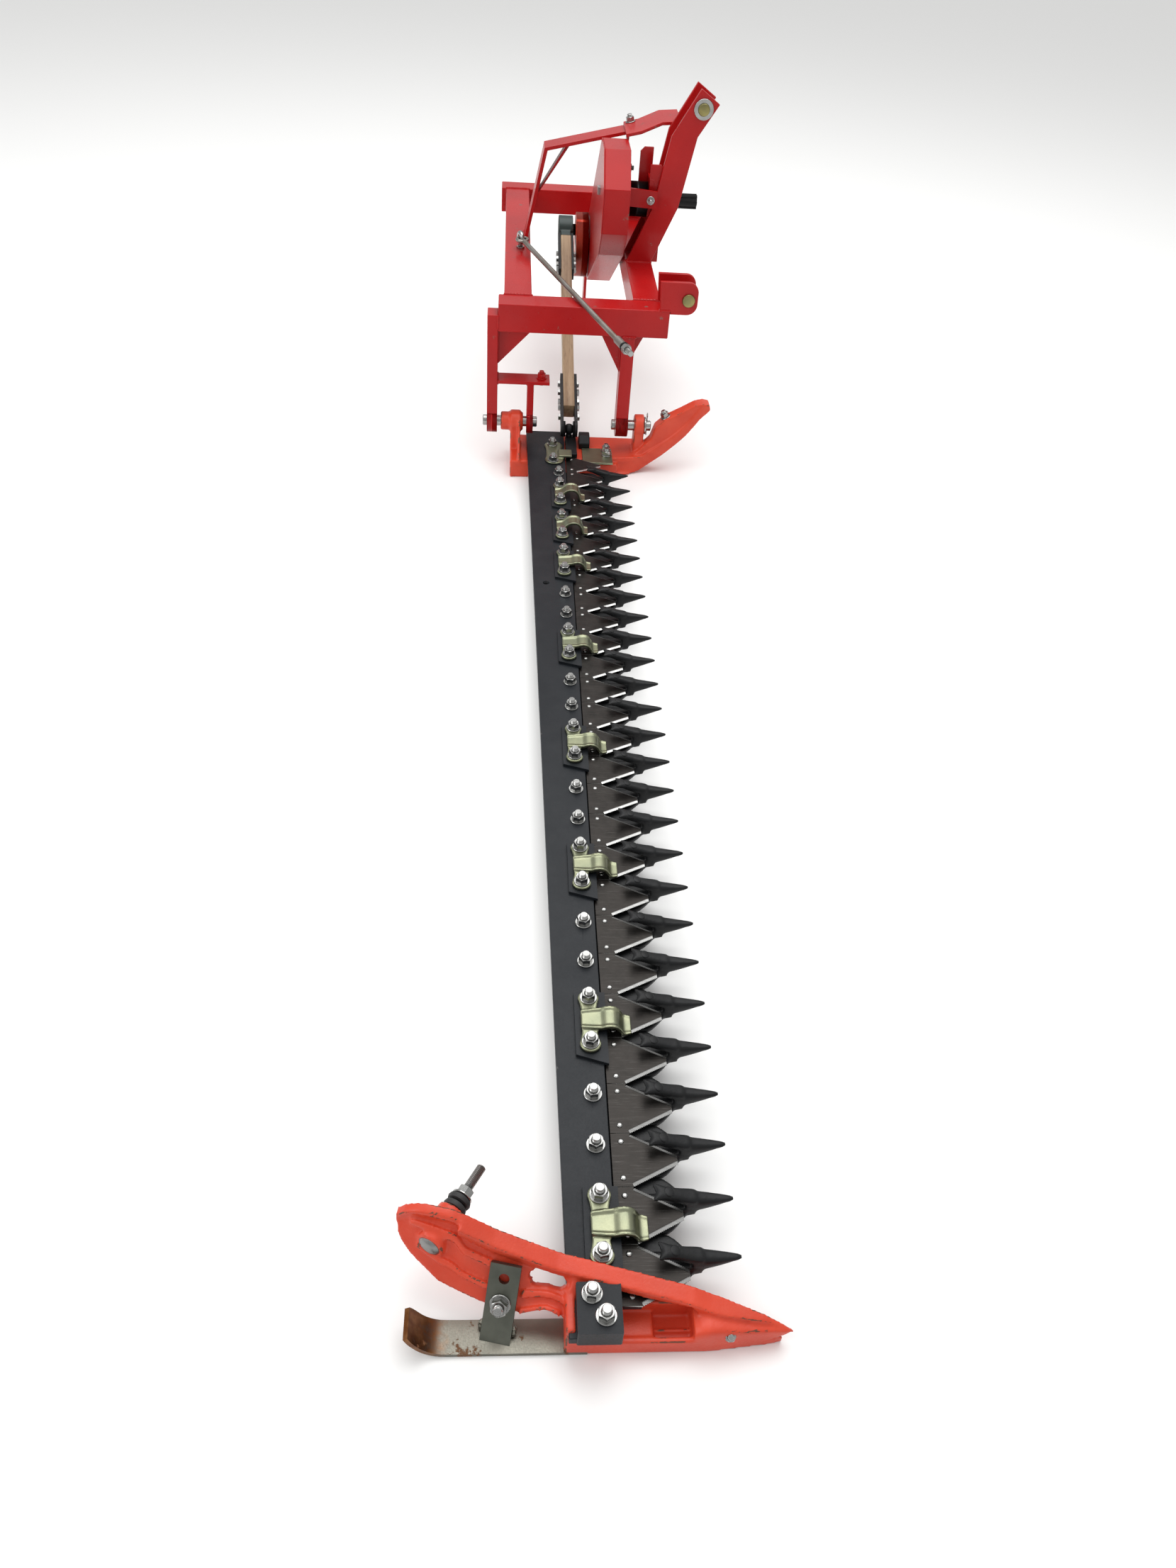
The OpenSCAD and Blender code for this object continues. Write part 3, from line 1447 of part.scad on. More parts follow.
module bolt_line(r, half) {
    for (y = strap_bolt_ys) translate([-half, y, 0]) rod_x(r, 2 * half);
}

module pitman_rod() {
    color(wood) pitman_frame() difference() {
        translate([-rod_half_x, wood_start, -rod_half_z])
            cube([2 * rod_half_x, pitman_len - shank_len - wood_start, 2 * rod_half_z]);
        bolt_line(strap_bolt_r + run_fit, bolt_half);
    }
}

module pitman_straps() {
    color(black) pitman_frame() difference() {
        for (x = [-rod_half_x - pitman_strap_t, rod_half_x]) translate([x, 0, 0]) {
            rod_x(jaw_r, pitman_strap_t);
            translate([0, 0, -strap_half_z]) cube([pitman_strap_t, small_strap_len, 2 * strap_half_z]);
            translate([0, big_strap_y, -strap_half_z])
                cube([pitman_strap_t, big_strap_len, 2 * strap_half_z]);
        }
        bolt_line(strap_bolt_r + run_fit, bolt_half + over);
        translate([-bolt_half - over, clamp_at, 0]) rod_x(strap_bolt_r + run_fit, 2 * bolt_half + 2 * over);
    }
}

module pitman_bolts() {
    color(steel) pitman_frame() for (y = concat(strap_bolt_ys, [clamp_at])) translate([0, y, 0]) {
        translate([-bolt_half, 0, 0]) rod_x(strap_bolt_r, 2 * bolt_half);
        for (x = [-bolt_half - strap_nut_h, bolt_half])
            translate([x, 0, 0]) rotate([0, 90, 0])
                cylinder(r = strap_nut_r, h = strap_nut_h, $fn = nut_sides);
    }
}

module ball_jaws() {
    color(black) pitman_frame() difference() {
        for (x = [-rod_half_x, jaw_slot]) translate([x, 0, 0]) rod_x(jaw_r, rod_half_x - jaw_slot);
        sphere(r = ball_r + jaw_gap);
    }
}

module big_end() {
    color(green) pitman_frame() {
        translate([-big_end_half, pitman_len, 0]) rod_x(big_end_r, 2 * big_end_half);
        translate([-rod_half_x, pitman_len - shank_len, -rod_half_z])
            cube([2 * rod_half_x, shank_len, 2 * rod_half_z]);
    }
}

near_beam();
rear_beam();
far_beam();
front_beam();
rear_leg();
rear_bracket();
front_leg();
leg_gussets();
hinge_pins();
mast_straps();
mast_brace();
top_link_pin();
lower_clevises();
lower_link_pins();
pin_washers();
guard_arm();
belt_guard();
guard_back_plate();
input_housing();
bearing_plate();
crank_housing();
bearings();
frame_bolts();
eye_bolt();
parking_stand();
drive_belts();
input_shaft();
drive_pulley();
crank_shaft();
crank_pulley();
flywheel();
crank_pin();
stay_rod();
cutter_bar();
guards_inner();
guards_middle();
guards_outer();
guard_bolts();
wear_plates();
low_clips();
arched_clips();
inner_shoe();
shoe_bolts();
head_cap();
head_guide();
guide_plate();
outer_shoe();
end_block();
skid();
swath_stud();
rubber_washers();
knife_bar();
sections();
rivets();
knife_head();
pitman_rod();
pitman_straps();
pitman_bolts();
big_end();
ball_jaws();
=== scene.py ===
import json
import math

import bmesh
import bpy
import numpy as np
from mathutils import Matrix, Vector


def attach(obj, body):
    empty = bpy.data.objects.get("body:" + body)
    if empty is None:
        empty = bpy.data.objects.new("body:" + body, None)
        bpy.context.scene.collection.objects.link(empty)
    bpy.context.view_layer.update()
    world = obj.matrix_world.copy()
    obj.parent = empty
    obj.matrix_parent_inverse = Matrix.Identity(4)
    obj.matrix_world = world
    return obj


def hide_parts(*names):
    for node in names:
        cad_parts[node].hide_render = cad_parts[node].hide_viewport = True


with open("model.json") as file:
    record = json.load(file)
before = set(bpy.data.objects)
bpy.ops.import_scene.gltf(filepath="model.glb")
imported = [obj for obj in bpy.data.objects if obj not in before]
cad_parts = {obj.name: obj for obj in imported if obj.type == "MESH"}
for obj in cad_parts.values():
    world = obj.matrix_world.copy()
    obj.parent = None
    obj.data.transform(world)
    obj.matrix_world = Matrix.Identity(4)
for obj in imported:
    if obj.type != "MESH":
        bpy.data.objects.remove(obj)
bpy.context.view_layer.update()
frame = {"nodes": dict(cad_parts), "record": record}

# Frame tubes: four lengths of square steel tube with rolled corners, welded into a rectangle and
# sprayed with gloss red enamel. The paint thins out on the corners, where grey steel shows.
body_of = {node: body for body, nodes in frame["record"]["behaviour"]["bodies"].items() for node in nodes}
slot_of = {row["node"]: row["material_slot"] for row in frame["record"]["subparts"]}
merge_gap = 1e-5
flat_turn = math.radians(0.5)
edge_turn = math.radians(25)
arc_room = 2.2


def settle(piece, body, slot, *nodes):
    """Puts a finished piece on its body and hides the solids that it stands for; slot is not used."""
    bpy.context.scene.collection.objects.link(piece)
    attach(piece, body)
    if nodes:
        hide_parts(*nodes)
    return piece


def read(items, key, width=1, kind=float):
    """One property of all corners, edges or faces of a mesh as an array, in rows of a width."""
    values = np.empty(len(items) * width, kind)
    items.foreach_get(key, values)
    return values.reshape(-1, width) if width > 1 else values


def dressed(node, finish, round_r, rings=2):
    """A copy of a solid with each long sharp edge turned into an arc of round_r, in a few rings of faces.
    The attribute wear is 1 on those arcs and 0 on the flats, so that paint can thin out there."""
    shape = bmesh.new()
    shape.from_mesh(frame["nodes"][node].data)
    bmesh.ops.remove_doubles(shape, verts=shape.verts, dist=merge_gap)
    bmesh.ops.dissolve_limit(shape, angle_limit=flat_turn, verts=shape.verts, edges=shape.edges)
    sharp = [
        e for e in shape.edges
        if e.is_manifold and e.calc_face_angle() > edge_turn and e.calc_length() > arc_room * round_r
    ]
    arcs = bmesh.ops.bevel(
        shape, geom=sharp, offset=round_r, segments=rings, profile=0.5, affect="EDGES", clamp_overlap=True
    )
    shape.faces.index_update()
    arc_faces = [face.index for face in arcs["faces"]]
    mesh = bpy.data.meshes.new(node + "_finish")
    shape.to_mesh(mesh)
    shape.free()
    face_of = np.repeat(np.arange(len(mesh.polygons)), read(mesh.polygons, "loop_total", kind=np.int32))
    worn = np.zeros(len(mesh.vertices), np.float32)
    worn[read(mesh.loops, "vertex_index", kind=np.int32)[np.isin(face_of, arc_faces)]] = 1
    mesh.attributes.new("wear", "FLOAT", "POINT").data.foreach_set("value", worn)
    mesh.polygons.foreach_set("use_smooth", np.ones(len(mesh.polygons), bool))
    mesh.materials.append(finish)
    piece = bpy.data.objects.new(node + "_finish", mesh)
    even = piece.modifiers.new("even shading", "WEIGHTED_NORMAL")
    even.weight = 100
    return settle(piece, body_of[node], slot_of[node], node)


def feed(tree, socket, value):
    """Gives a socket its value: a link where the value is another socket, or else the plain value."""
    if isinstance(value, bpy.types.NodeSocket):
        tree.links.new(value, socket)
    else:
        socket.default_value = value


def add(tree, kind, settings=None, **inputs):
    """A shader node of a kind, with its settings and inputs."""
    node = tree.nodes.new("ShaderNode" + kind)
    for key, value in (settings or {}).items():
        setattr(node, key, value)
    for key, value in inputs.items():
        feed(tree, node.inputs[key], value)
    return node


def noise(tree, place, scale, detail, **more):
    """Soft noise about one half, with scale swings to the metre and a detail of finer swings in them."""
    return add(tree, "TexNoise", Vector=place, Scale=scale, Detail=detail, **more).outputs["Fac"]


def blank(name):
    """A new finish: its material, tree and shader, and the place on the piece that textures follow."""
    material = bpy.data.materials.new(name)
    material.use_nodes = True
    tree = material.node_tree
    return material, tree, tree.nodes["Principled BSDF"], add(tree, "TexCoord").outputs["Object"]


def spread(tree, value, low, high, to_low=0.0, to_high=1.0):
    """A value between low and high carried over to another range, and held at its ends."""
    node = tree.nodes.new("ShaderNodeMapRange")
    tree.links.new(value, node.inputs[0])
    for socket, number in zip(list(node.inputs)[1:5], (low, high, to_low, to_high)):
        socket.default_value = number
    return node.outputs[0]


def mixed(tree, share, first, second):
    """The first colour where share is 0 and the second where it is 1."""
    node = tree.nodes.new("ShaderNodeMix")
    node.data_type = "RGBA"
    tree.links.new(share, node.inputs[0])
    for socket, colour in zip((node.inputs[6], node.inputs[7]), (first, second)):
        feed(tree, socket, (*colour, 1) if isinstance(colour, tuple) else colour)
    return node.outputs[2]


def both(tree, operation, first, second):
    """One sum, product, least or greatest of two values, each a socket or a number."""
    node = add(tree, "Math", {"operation": operation})
    for socket, value in zip(node.inputs, (first, second)):
        feed(tree, socket, value)
    return node.outputs[0]


def between(tree, share, first, second):
    """The first value where share is 0 and the second where it is 1."""
    node = tree.nodes.new("ShaderNodeMix")
    for source, target in zip((share, first, second), (0, 2, 3)):
        tree.links.new(source, node.inputs[target])
    return node.outputs[0]


def coated(name, main, patch, worn, shine, worn_shine, metal=(0.0, 1.0), patch_size=0.12, speck_size=0.004,
           relief=0.0002, edge_wear=0.55, scuffs=0.75, scuff_size=0.03, clear_coat=0.0, gloss=0.5, dust=None):
    """Paint, plate or bare cast skin: main and patch colours drift into each other in soft patches, and worn
    shows on the rounded edges where specks pass edge_wear, and on the flats where scuffs pass their level.
    shine and worn_shine are ranges of roughness, metal is how metallic the coat and the worn ground are.
    dust, a colour and a share, lies in thin clouds over the coat, and gloss is how strongly the coat mirrors."""
    material, tree, shader, place = blank(name)
    patches = noise(tree, place, 1 / patch_size, 4.0)
    specks = noise(tree, place, 1 / speck_size, 6.0, Roughness=0.6)
    scuffed = noise(tree, place, 1 / scuff_size, 8.0, Roughness=0.7)
    wear = add(tree, "Attribute", {"attribute_name": "wear"}).outputs["Fac"]
    edge = spread(tree, both(tree, "MULTIPLY", wear, scuffed), edge_wear, edge_wear + 0.04)
    flat = spread(tree, scuffed, scuffs, scuffs + 0.03)
    bare = both(tree, "MAXIMUM", edge, flat)
    skin_colour = mixed(tree, spread(tree, patches, 0.35, 0.65), main, patch)
    if dust:
        clouds = noise(tree, place, 2.2 / patch_size, 7.0, Roughness=0.65)
        skin_colour = mixed(tree, spread(tree, clouds, 0.45, 0.75, 0.0, dust[1]), skin_colour, dust[0])
    tree.links.new(mixed(tree, bare, skin_colour, worn), shader.inputs["Base Color"])
    coat_shine = spread(tree, specks, 0.3, 0.7, *shine)
    bare_shine = spread(tree, specks, 0.3, 0.7, *worn_shine)
    tree.links.new(between(tree, bare, coat_shine, bare_shine), shader.inputs["Roughness"])
    if metal[0] == metal[1]:
        shader.inputs["Metallic"].default_value = metal[0]
    else:
        tree.links.new(spread(tree, bare, 0, 1, *metal), shader.inputs["Metallic"])
    bump = add(tree, "Bump", Strength=0.5, Distance=relief, Height=specks)
    tree.links.new(bump.outputs["Normal"], shader.inputs["Normal"])
    shader.inputs["Specular IOR Level"].default_value = gloss
    shader.inputs["Coat Weight"].default_value = clear_coat
    shader.inputs["Coat Roughness"].default_value = 0.08
    return material


red_enamel = coated(
    "red enamel", (0.40, 0.006, 0.006), (0.34, 0.004, 0.005), (0.22, 0.12, 0.10), (0.26, 0.38), (0.45, 0.6),
    metal=(0.0, 0.5), edge_wear=0.64, scuffs=0.80, clear_coat=0.12, gloss=0.22, dust=((0.42, 0.05, 0.05), 0.06),
)
for node in ("near_beam", "rear_beam", "far_beam", "front_beam"):
    dressed(node, red_enamel, 0.006, 3)

# Legs, gussets, hinge bracket and bearing plate: flame-cut steel plate welded under and on the tubes, in
# the same red. The legs carry the hinge of the bar, and the upright plate carries the input shaft.
for node in ("rear_leg", "rear_bracket", "front_leg", "leg_gussets", "bearing_plate"):
    dressed(node, red_enamel, 0.0014)

# Weld beads: the rippled seams of weld metal that join tubes, legs and plates. They were laid by hand along
# the joints and painted over with the rest.
mm = 0.001
tube_low, tube_top = 330, 395
rear_tube, front_tube = (-137, -72), (168, 233)
link_ys, link_half, link_t = (65, 745), 29, 10
foot_bead, thin_bead = 2.6, 2.2


def skin(grid, wrap_u=False, wrap_v=False):
    """Corners and four-sided faces of a grid of points, joined end to end along u or v where asked."""
    rows, columns = grid.shape[:2]
    index = np.arange(rows * columns).reshape(rows, columns)
    if wrap_u:
        index = np.vstack([index, index[:1]])
    if wrap_v:
        index = np.hstack([index, index[:, :1]])
    faces = np.stack([index[:-1, :-1], index[1:, :-1], index[1:, 1:], index[:-1, 1:]], -1).reshape(-1, 4)
    return grid.reshape(-1, 3), [faces]


def rubbed(mesh, sharp):
    """Writes the attribute wear: how far the neighbours of each corner lie behind its tangent plane,
    as a curvature in 1/m, so that it is 1 on edges rounder than 1 / sharp and 0 on flats and hollows."""
    points = read(mesh.vertices, "co", 3)
    normals = read(mesh.vertex_normals, "vector", 3)
    a, b = read(mesh.edges, "vertices", 2, np.int32).T
    step = points[b] - points[a]
    squared = np.maximum((step * step).sum(1), 1e-12)
    total = np.bincount(a, -(step * normals[a]).sum(1) / squared, len(points))
    total += np.bincount(b, (step * normals[b]).sum(1) / squared, len(points))
    count = np.bincount(a, minlength=len(points)) + np.bincount(b, minlength=len(points))
    bend = 2 * total / np.maximum(count, 1)
    worn = mesh.attributes.get("wear") or mesh.attributes.new("wear", "FLOAT", "POINT")
    worn.data.foreach_set("value", np.clip(bend / sharp, 0, 1).astype(np.float32))


def solid(name, shells):
    """One mesh from shells of points in millimetres: doubled corners at seams and poles are merged, and
    every closed shell has its faces turned outwards."""
    points, faces, first = [], [], 0
    for corners, groups in shells:
        points.append(corners * mm)
        for group in groups:
            faces += (group + first).tolist()
        first += len(corners)
    mesh = bpy.data.meshes.new(name)
    mesh.from_pydata(np.vstack(points).tolist(), [], faces)
    shape = bmesh.new()
    shape.from_mesh(mesh)
    bmesh.ops.remove_doubles(shape, verts=shape.verts, dist=merge_gap)
    bmesh.ops.dissolve_degenerate(shape, edges=shape.edges, dist=merge_gap)
    bmesh.ops.recalc_face_normals(shape, faces=shape.faces)
    shape.to_mesh(mesh)
    shape.free()
    return mesh


def shown(name, mesh, finish, body, slot, nodes=(), crease=40, sharp=500):
    """A piece from a mesh, smooth apart from folds over crease degrees, with its wear written."""
    mesh.polygons.foreach_set("use_smooth", np.ones(len(mesh.polygons), bool))
    mesh.set_sharp_from_angle(angle=math.radians(crease))
    rubbed(mesh, sharp)
    mesh.materials.append(finish)
    return settle(bpy.data.objects.new(name, mesh), body, slot, *nodes)


def made(name, shells, *rest, **more):
    """A piece straight from its shells, and for the rest as shown."""
    return shown(name, solid(name, shells), *rest, **more)


def bead(path, radius=3.2, ripple=3.4, sides=8):
    """A round bead along a path of straight legs: its radius swells in ripples along its length and
    falls to nothing at both ends."""
    path = np.asarray(path, float)
    legs = np.linalg.norm(np.diff(path, axis=0), axis=1)
    at = np.concatenate([[0], np.cumsum(legs)])
    along = np.linspace(0, at[-1], int(at[-1] / 1.4) + 3)
    line = np.stack([np.interp(along, at, path[:, k]) for k in range(3)], -1)
    ahead = np.gradient(line, axis=0)
    ahead /= np.linalg.norm(ahead, axis=1)[:, None]
    aside = np.cross(ahead, np.where(np.abs(ahead[:, 2:]) < 0.9, (0, 0, 1), (1, 0, 0)))
    aside /= np.linalg.norm(aside, axis=1)[:, None]
    above = np.cross(aside, ahead)
    swell = radius * (1 + 0.13 * np.sin(2 * np.pi * along / ripple) + 0.06 * np.sin(along * 0.23))
    swell *= np.minimum(1, np.minimum(along, at[-1] - along) / radius) ** 0.5
    turn = np.linspace(0, 2 * np.pi, sides, endpoint=False)
    ring = aside[:, None] * np.cos(turn)[:, None] + above[:, None] * np.sin(turn)[:, None]
    return skin(line[:, None] + swell[:, None, None] * ring, wrap_v=True)


def square_path(x0, x1, z0, z1, y):
    """The way once round a square tube end that stands on the plane of y."""
    return [(x0, y, z0), (x1, y, z0), (x1, y, z1), (x0, y, z1), (x0, y, z0)]


def foot_path(x0, x1, y0, y1, z):
    """The way once round the foot of an upright plate on the plane of z."""
    return [(x0, y0, z), (x1, y0, z), (x1, y1, z), (x0, y1, z), (x0, y0, z)]


seams = [bead(square_path(*xs, tube_low, tube_top, y)) for xs in (rear_tube, front_tube) for y in (95, 945)]
seams += [bead(foot_path(*box, tube_low)) for box in ((143, 173, 30, 80), (101, 109, 947.5, 1007.5))]
plate_feet = [
    (x0, x1, y + side * link_half - link_t / 2, y + side * link_half + link_t / 2)
    for y, x0, x1 in ((link_ys[0], 226, 250), (link_ys[1], *front_tube)) for side in (-1, 1)
]
plate_feet += [(169, 231, y, y + 10) for y in (363, 437)] + [(212, 224, 373, 437), (-88, -80, 503, 568)]
seams += [bead(foot_path(*box, tube_top), foot_bead) for box in plate_feet]
seams += [bead([(-150, y, 368), (-150, y, 334)], foot_bead) for y in (31, 79)]
gusset_tops = ((-148, -72), (96, 141), (175, 196))
gusset_sides = ((-149, 250), (142, 240), (174, 284))
seams += [bead([(x0, y, 329), (x1, y, 329)], thin_bead) for y in (50, 60) for x0, x1 in gusset_tops]
seams += [bead([(x, y, 326), (x, y, z)], thin_bead) for y in (50, 60) for x, z in gusset_sides]
seams += [bead([(-149, 32, z), (-149, 78, z)], thin_bead) for z in (203, 213)]
seams.append(bead([(-78, 31, 203), (-78, 79, 203)], thin_bead))
made("weld_beads", seams, red_enamel, "frame", "red_paint")

# Lower link plates: two pairs of flame-cut steel plates with rounded front ends and a drilled hole for the
# link pin, welded on the tubes and painted with them.
link_pin = np.array((290.0, 421.0))
link_hole = 11.1
link_end_r = 24.0
link_end_x = 288.0
link_low, link_top = 387.0, 461.0
link_edge = 1.2
near_rear = [(222, link_top), (226, tube_top)]
far_rear = [(240, link_top), (168, 417), (168, tube_top)]


def drilled(outline, y0, y1):
    """A plate on edge with a hole: six rings from hole to hole over the outline, which is drawn in X and Z and
    falls in by a narrow chamfer at both faces. Each point of the hole lies at the angle of its outline point."""
    rim = np.asarray(outline, float) - link_pin
    reach = np.linalg.norm(rim, axis=1)[:, None]
    hole, chamfer, full = link_hole / reach, 1 - link_edge / reach, np.ones_like(reach)
    rings = [
        np.insert(link_pin + share * rim, 1, y, axis=1)
        for share, y in (
            (hole, y0), (chamfer, y0), (full, y0 + link_edge), (full, y1 - link_edge), (chamfer, y1), (hole, y1),
        )
    ]
    return skin(np.stack(rings), wrap_u=True, wrap_v=True)


def link_outline(rear, tube_front):
    """From the points of the rear end the foot runs over the tube and drops past its front, and two arcs round
    off the front end."""
    turn = np.linspace(-np.pi / 2, 0, 9)
    arc = link_end_r * np.column_stack([np.cos(turn), np.sin(turn)])
    return np.vstack([
        rear, [(tube_front, tube_top), (tube_front, link_low)], (link_end_x, link_low + link_end_r) + arc,
        (link_end_x, link_top - link_end_r) + arc[::-1] * (1, -1),
    ])


made("lower_clevises_cut", [
    drilled(link_outline(rear, front), y + side * link_half - link_t / 2, y + side * link_half + link_t / 2)
    for y, rear, front in zip(link_ys, (near_rear, far_rear), (250.5, 233.5)) for side in (-1, 1)
], red_enamel, "frame", slot_of["lower_clevises"], ("lower_clevises",), crease=30)

# Hinge pins: two plated steel pins on one line, turned and chamfered at both ends. They pass through the
# legs and the lugs of the inner shoe and let the bar fold up.
bright_zinc = coated(
    "bright zinc", (0.40, 0.40, 0.39), (0.32, 0.32, 0.31), (0.20, 0.18, 0.15), (0.18, 0.30), (0.5, 0.6),
    metal=(1.0, 1.0), patch_size=0.02, speck_size=0.001, relief=0.00005, edge_wear=0.9, scuffs=0.72,
)


def turned(profile, sides=32, ring=False):
    """Pairs of radius and height carried once round the Z axis; a ring's profile closes on itself."""
    radius, height = np.asarray(profile, float).T
    turn = np.linspace(0, 2 * np.pi, sides, endpoint=False)
    rise = np.repeat(height[:, None], sides, 1)
    grid = np.stack([radius[:, None] * np.cos(turn), radius[:, None] * np.sin(turn), rise], -1)
    return skin(grid, wrap_u=ring, wrap_v=True)


def placed(shell, origin, axis, spin=0.0):
    """A shell drawn along Z, moved to an origin with Z turned to an axis and spun about it."""
    up = np.asarray(axis, float) / np.linalg.norm(axis)
    side = np.cross(up, (0, 1, 0) if abs(up[1]) < 0.9 else (1, 0, 0))
    side /= np.linalg.norm(side)
    other = np.cross(up, side)
    first = math.cos(spin) * side + math.sin(spin) * other
    points, faces = shell
    return points @ np.stack([first, np.cross(up, first), up]) + np.asarray(origin, float), faces


def pin_shell(radius, length, chamfer=1.5):
    """A straight pin: a flat end, a chamfer, the shank, and the same again."""
    return turned([
        (0, 0), (radius - chamfer, 0), (radius, chamfer), (radius, length - chamfer), (radius - chamfer, length),
        (0, length),
    ])


hinge_line = (45, 105)
made("hinge_pins_turned", [
    placed(pin_shell(12.5, 133), (-185, *hinge_line), (1, 0, 0)),
    placed(pin_shell(12.5, 98.5), (133, *hinge_line), (1, 0, 0)),
], bright_zinc, "frame", "bright_steel", ("hinge_pins",))

# Mast: two bent flat steel straps and a curved plate behind them that carry the tractor's top link. They
# are welded on the front tube and painted red.
for node in ("mast_straps", "mast_brace"):
    dressed(node, red_enamel, 0.0016, 3)

# Hitch pins: turned steel pins with a domed collar, plated yellow, that hold the tractor's links between
# their plates. Stamped washers and split pins keep the top pin and a hinge pin in place.
top_pin = (324, 359, 748)
yellow_zinc = coated(
    "yellow zinc", (0.28, 0.29, 0.19), (0.23, 0.245, 0.165), (0.19, 0.17, 0.13), (0.28, 0.42), (0.4, 0.5),
    metal=(1.0, 1.0), patch_size=0.025, speck_size=0.0015, relief=0.0001, edge_wear=0.8, scuffs=0.72,
)
olive_zinc = coated(
    "olive zinc", (0.30, 0.26, 0.10), (0.23, 0.21, 0.10), (0.22, 0.20, 0.17), (0.28, 0.42), (0.4, 0.5),
    metal=(1.0, 1.0), patch_size=0.02, speck_size=0.0015, relief=0.0001, edge_wear=0.8, scuffs=0.74,
)
upwards = np.array((0, 0, 1))


def headed_pin(radius, length, head_r, head_t):
    """A pin with a domed collar below its own zero and a chamfer at its far end."""
    return turned([
        (0, -head_t), (head_r * 0.55, -head_t), (head_r - 1.2, -head_t * 0.82), (head_r, -head_t * 0.5),
        (head_r, -0.6), (head_r - 0.6, 0), (radius, 0), (radius, length - 2), (radius - 2, length), (0, length),
    ])


made("top_link_pin_turned", [
    placed(headed_pin(9.5, 107, 14, 6), top_pin, (0, 1, 0)),
], olive_zinc, "frame", "yellow_zinc", ("top_link_pin",))
made("lower_link_pins_turned", [
    placed(headed_pin(11, 78, 15, 6), (link_pin[0], y - link_half - link_t / 2, link_pin[1]), (0, 1, 0))
    for y in link_ys
], olive_zinc, "frame", "yellow_zinc", ("lower_link_pins",))


def washer(radius, bore, thick, edge=0.6, sides=32):
    """A flat ring with broken edges."""
    flat = radius - edge
    section = [(bore, 0), (flat, 0), (radius, edge), (radius, thick - edge), (flat, thick), (bore, thick)]
    return turned(section, sides, ring=True)


def closed_tube(grid):
    """A skin round a row of equal rings, with the first and the last ring filled."""
    points, faces = skin(grid, wrap_v=True)
    rings = np.arange(len(points)).reshape(len(grid), -1)
    return points, faces + [rings[:1], rings[-1:]]


def wire(path, radius, across, sides=8):
    """A round wire along a flat path; across is the direction square to the plane of the path."""
    path = np.asarray(path, float)
    ahead = np.gradient(path, axis=0)
    ahead /= np.linalg.norm(ahead, axis=1)[:, None]
    aside = np.asarray(across, float)
    above = np.cross(aside, ahead)
    turn = np.linspace(0, 2 * np.pi, sides, endpoint=False)
    ring = aside * np.cos(turn)[:, None] + above[:, None] * np.sin(turn)[:, None]
    return closed_tube(path[:, None] + radius * ring)


def split_pin(origin, across, half=22, wire_r=1.25, eye_r=5.0):
    """A split pin: down one leg, round the eye on top and down the other leg, with the tips spread apart."""
    bend = np.linspace(-0.42 * np.pi, 1.42 * np.pi, 25)
    eye = np.stack([eye_r * np.cos(bend), half + eye_r + eye_r * np.sin(bend)], -1)
    leg = np.stack([np.full(14, wire_r), np.linspace(-half, half - 1, 14)], -1)
    leg[:, 0] += 0.10 * np.maximum(0, -leg[:, 1] - 0.35 * half) ** 1.35
    flat = np.vstack([leg, eye, leg[::-1] * (-1, 1)])
    aside = np.cross(upwards, across)
    return wire(np.asarray(origin) + flat[:, :1] * aside + flat[:, 1:] * upwards, wire_r, across)


made("pin_washers_stamped", [
    placed(washer(21, 12.6, 4), (215, *hinge_line), (1, 0, 0)),
    placed(washer(23, 9.6, 4), top_pin, (0, 1, 0)),
    placed(washer(23, 9.6, 4), (top_pin[0], 447, top_pin[2]), (0, 1, 0)),
    split_pin((221.6, *hinge_line), (1, 0, 0)),
    split_pin((top_pin[0], 453.6, top_pin[2]), (0, 1, 0)),
], bright_zinc, "frame", "bright_steel", ("pin_washers",))

# Support arm of the belt guard: a wide flat steel bar bent twice and stiffened by a brace, welded to the
# rear tube and painted red.
dressed("guard_arm", red_enamel, 0.0016, 3)

# Belt guard: sheet steel folded round both pulleys and closed by a flat back plate, painted red and bolted
# to the support arm.
for node in ("belt_guard", "guard_back_plate"):
    dressed(node, red_enamel, 0.0012)

# Bearing tubes and bearings: short lengths of thick black tube, welded to the plates, with the steel ball
# bearings of both shafts pressed into their ends.
black_cast = coated(
    "black cast", (0.005, 0.0054, 0.006), (0.008, 0.0085, 0.0095), (0.10, 0.095, 0.09), (0.32, 0.46), (0.35, 0.5),
    metal=(0.0, 1.0), patch_size=0.05, speck_size=0.002, relief=0.0004, edge_wear=0.66, scuffs=0.84, gloss=0.24,
    dust=((0.025, 0.024, 0.022), 0.25),
)
for node in ("input_housing", "crank_housing"):
    dressed(node, black_cast, 0.0015)
dressed("bearings", bright_zinc, 0.0006)

# Shafts, pulleys and belts: ground steel shafts, cast iron pulleys keyed on them, and two moulded rubber
# V-belts that run inside the guard.
black_rubber = coated(
    "black rubber", (0.014, 0.014, 0.014), (0.020, 0.020, 0.020), (0.035, 0.033, 0.03), (0.5, 0.65), (0.7, 0.8),
    metal=(0.0, 0.0), patch_size=0.02, speck_size=0.001, relief=0.0001, edge_wear=0.7, scuffs=0.7,
)
dressed("input_shaft", black_cast, 0.0008)
for node in ("crank_shaft", "crank_pin"):
    dressed(node, bright_zinc, 0.0008)
for node in ("drive_pulley", "crank_pulley"):
    dressed(node, black_cast, 0.0008)
dressed("drive_belts", black_rubber, 0.0008)

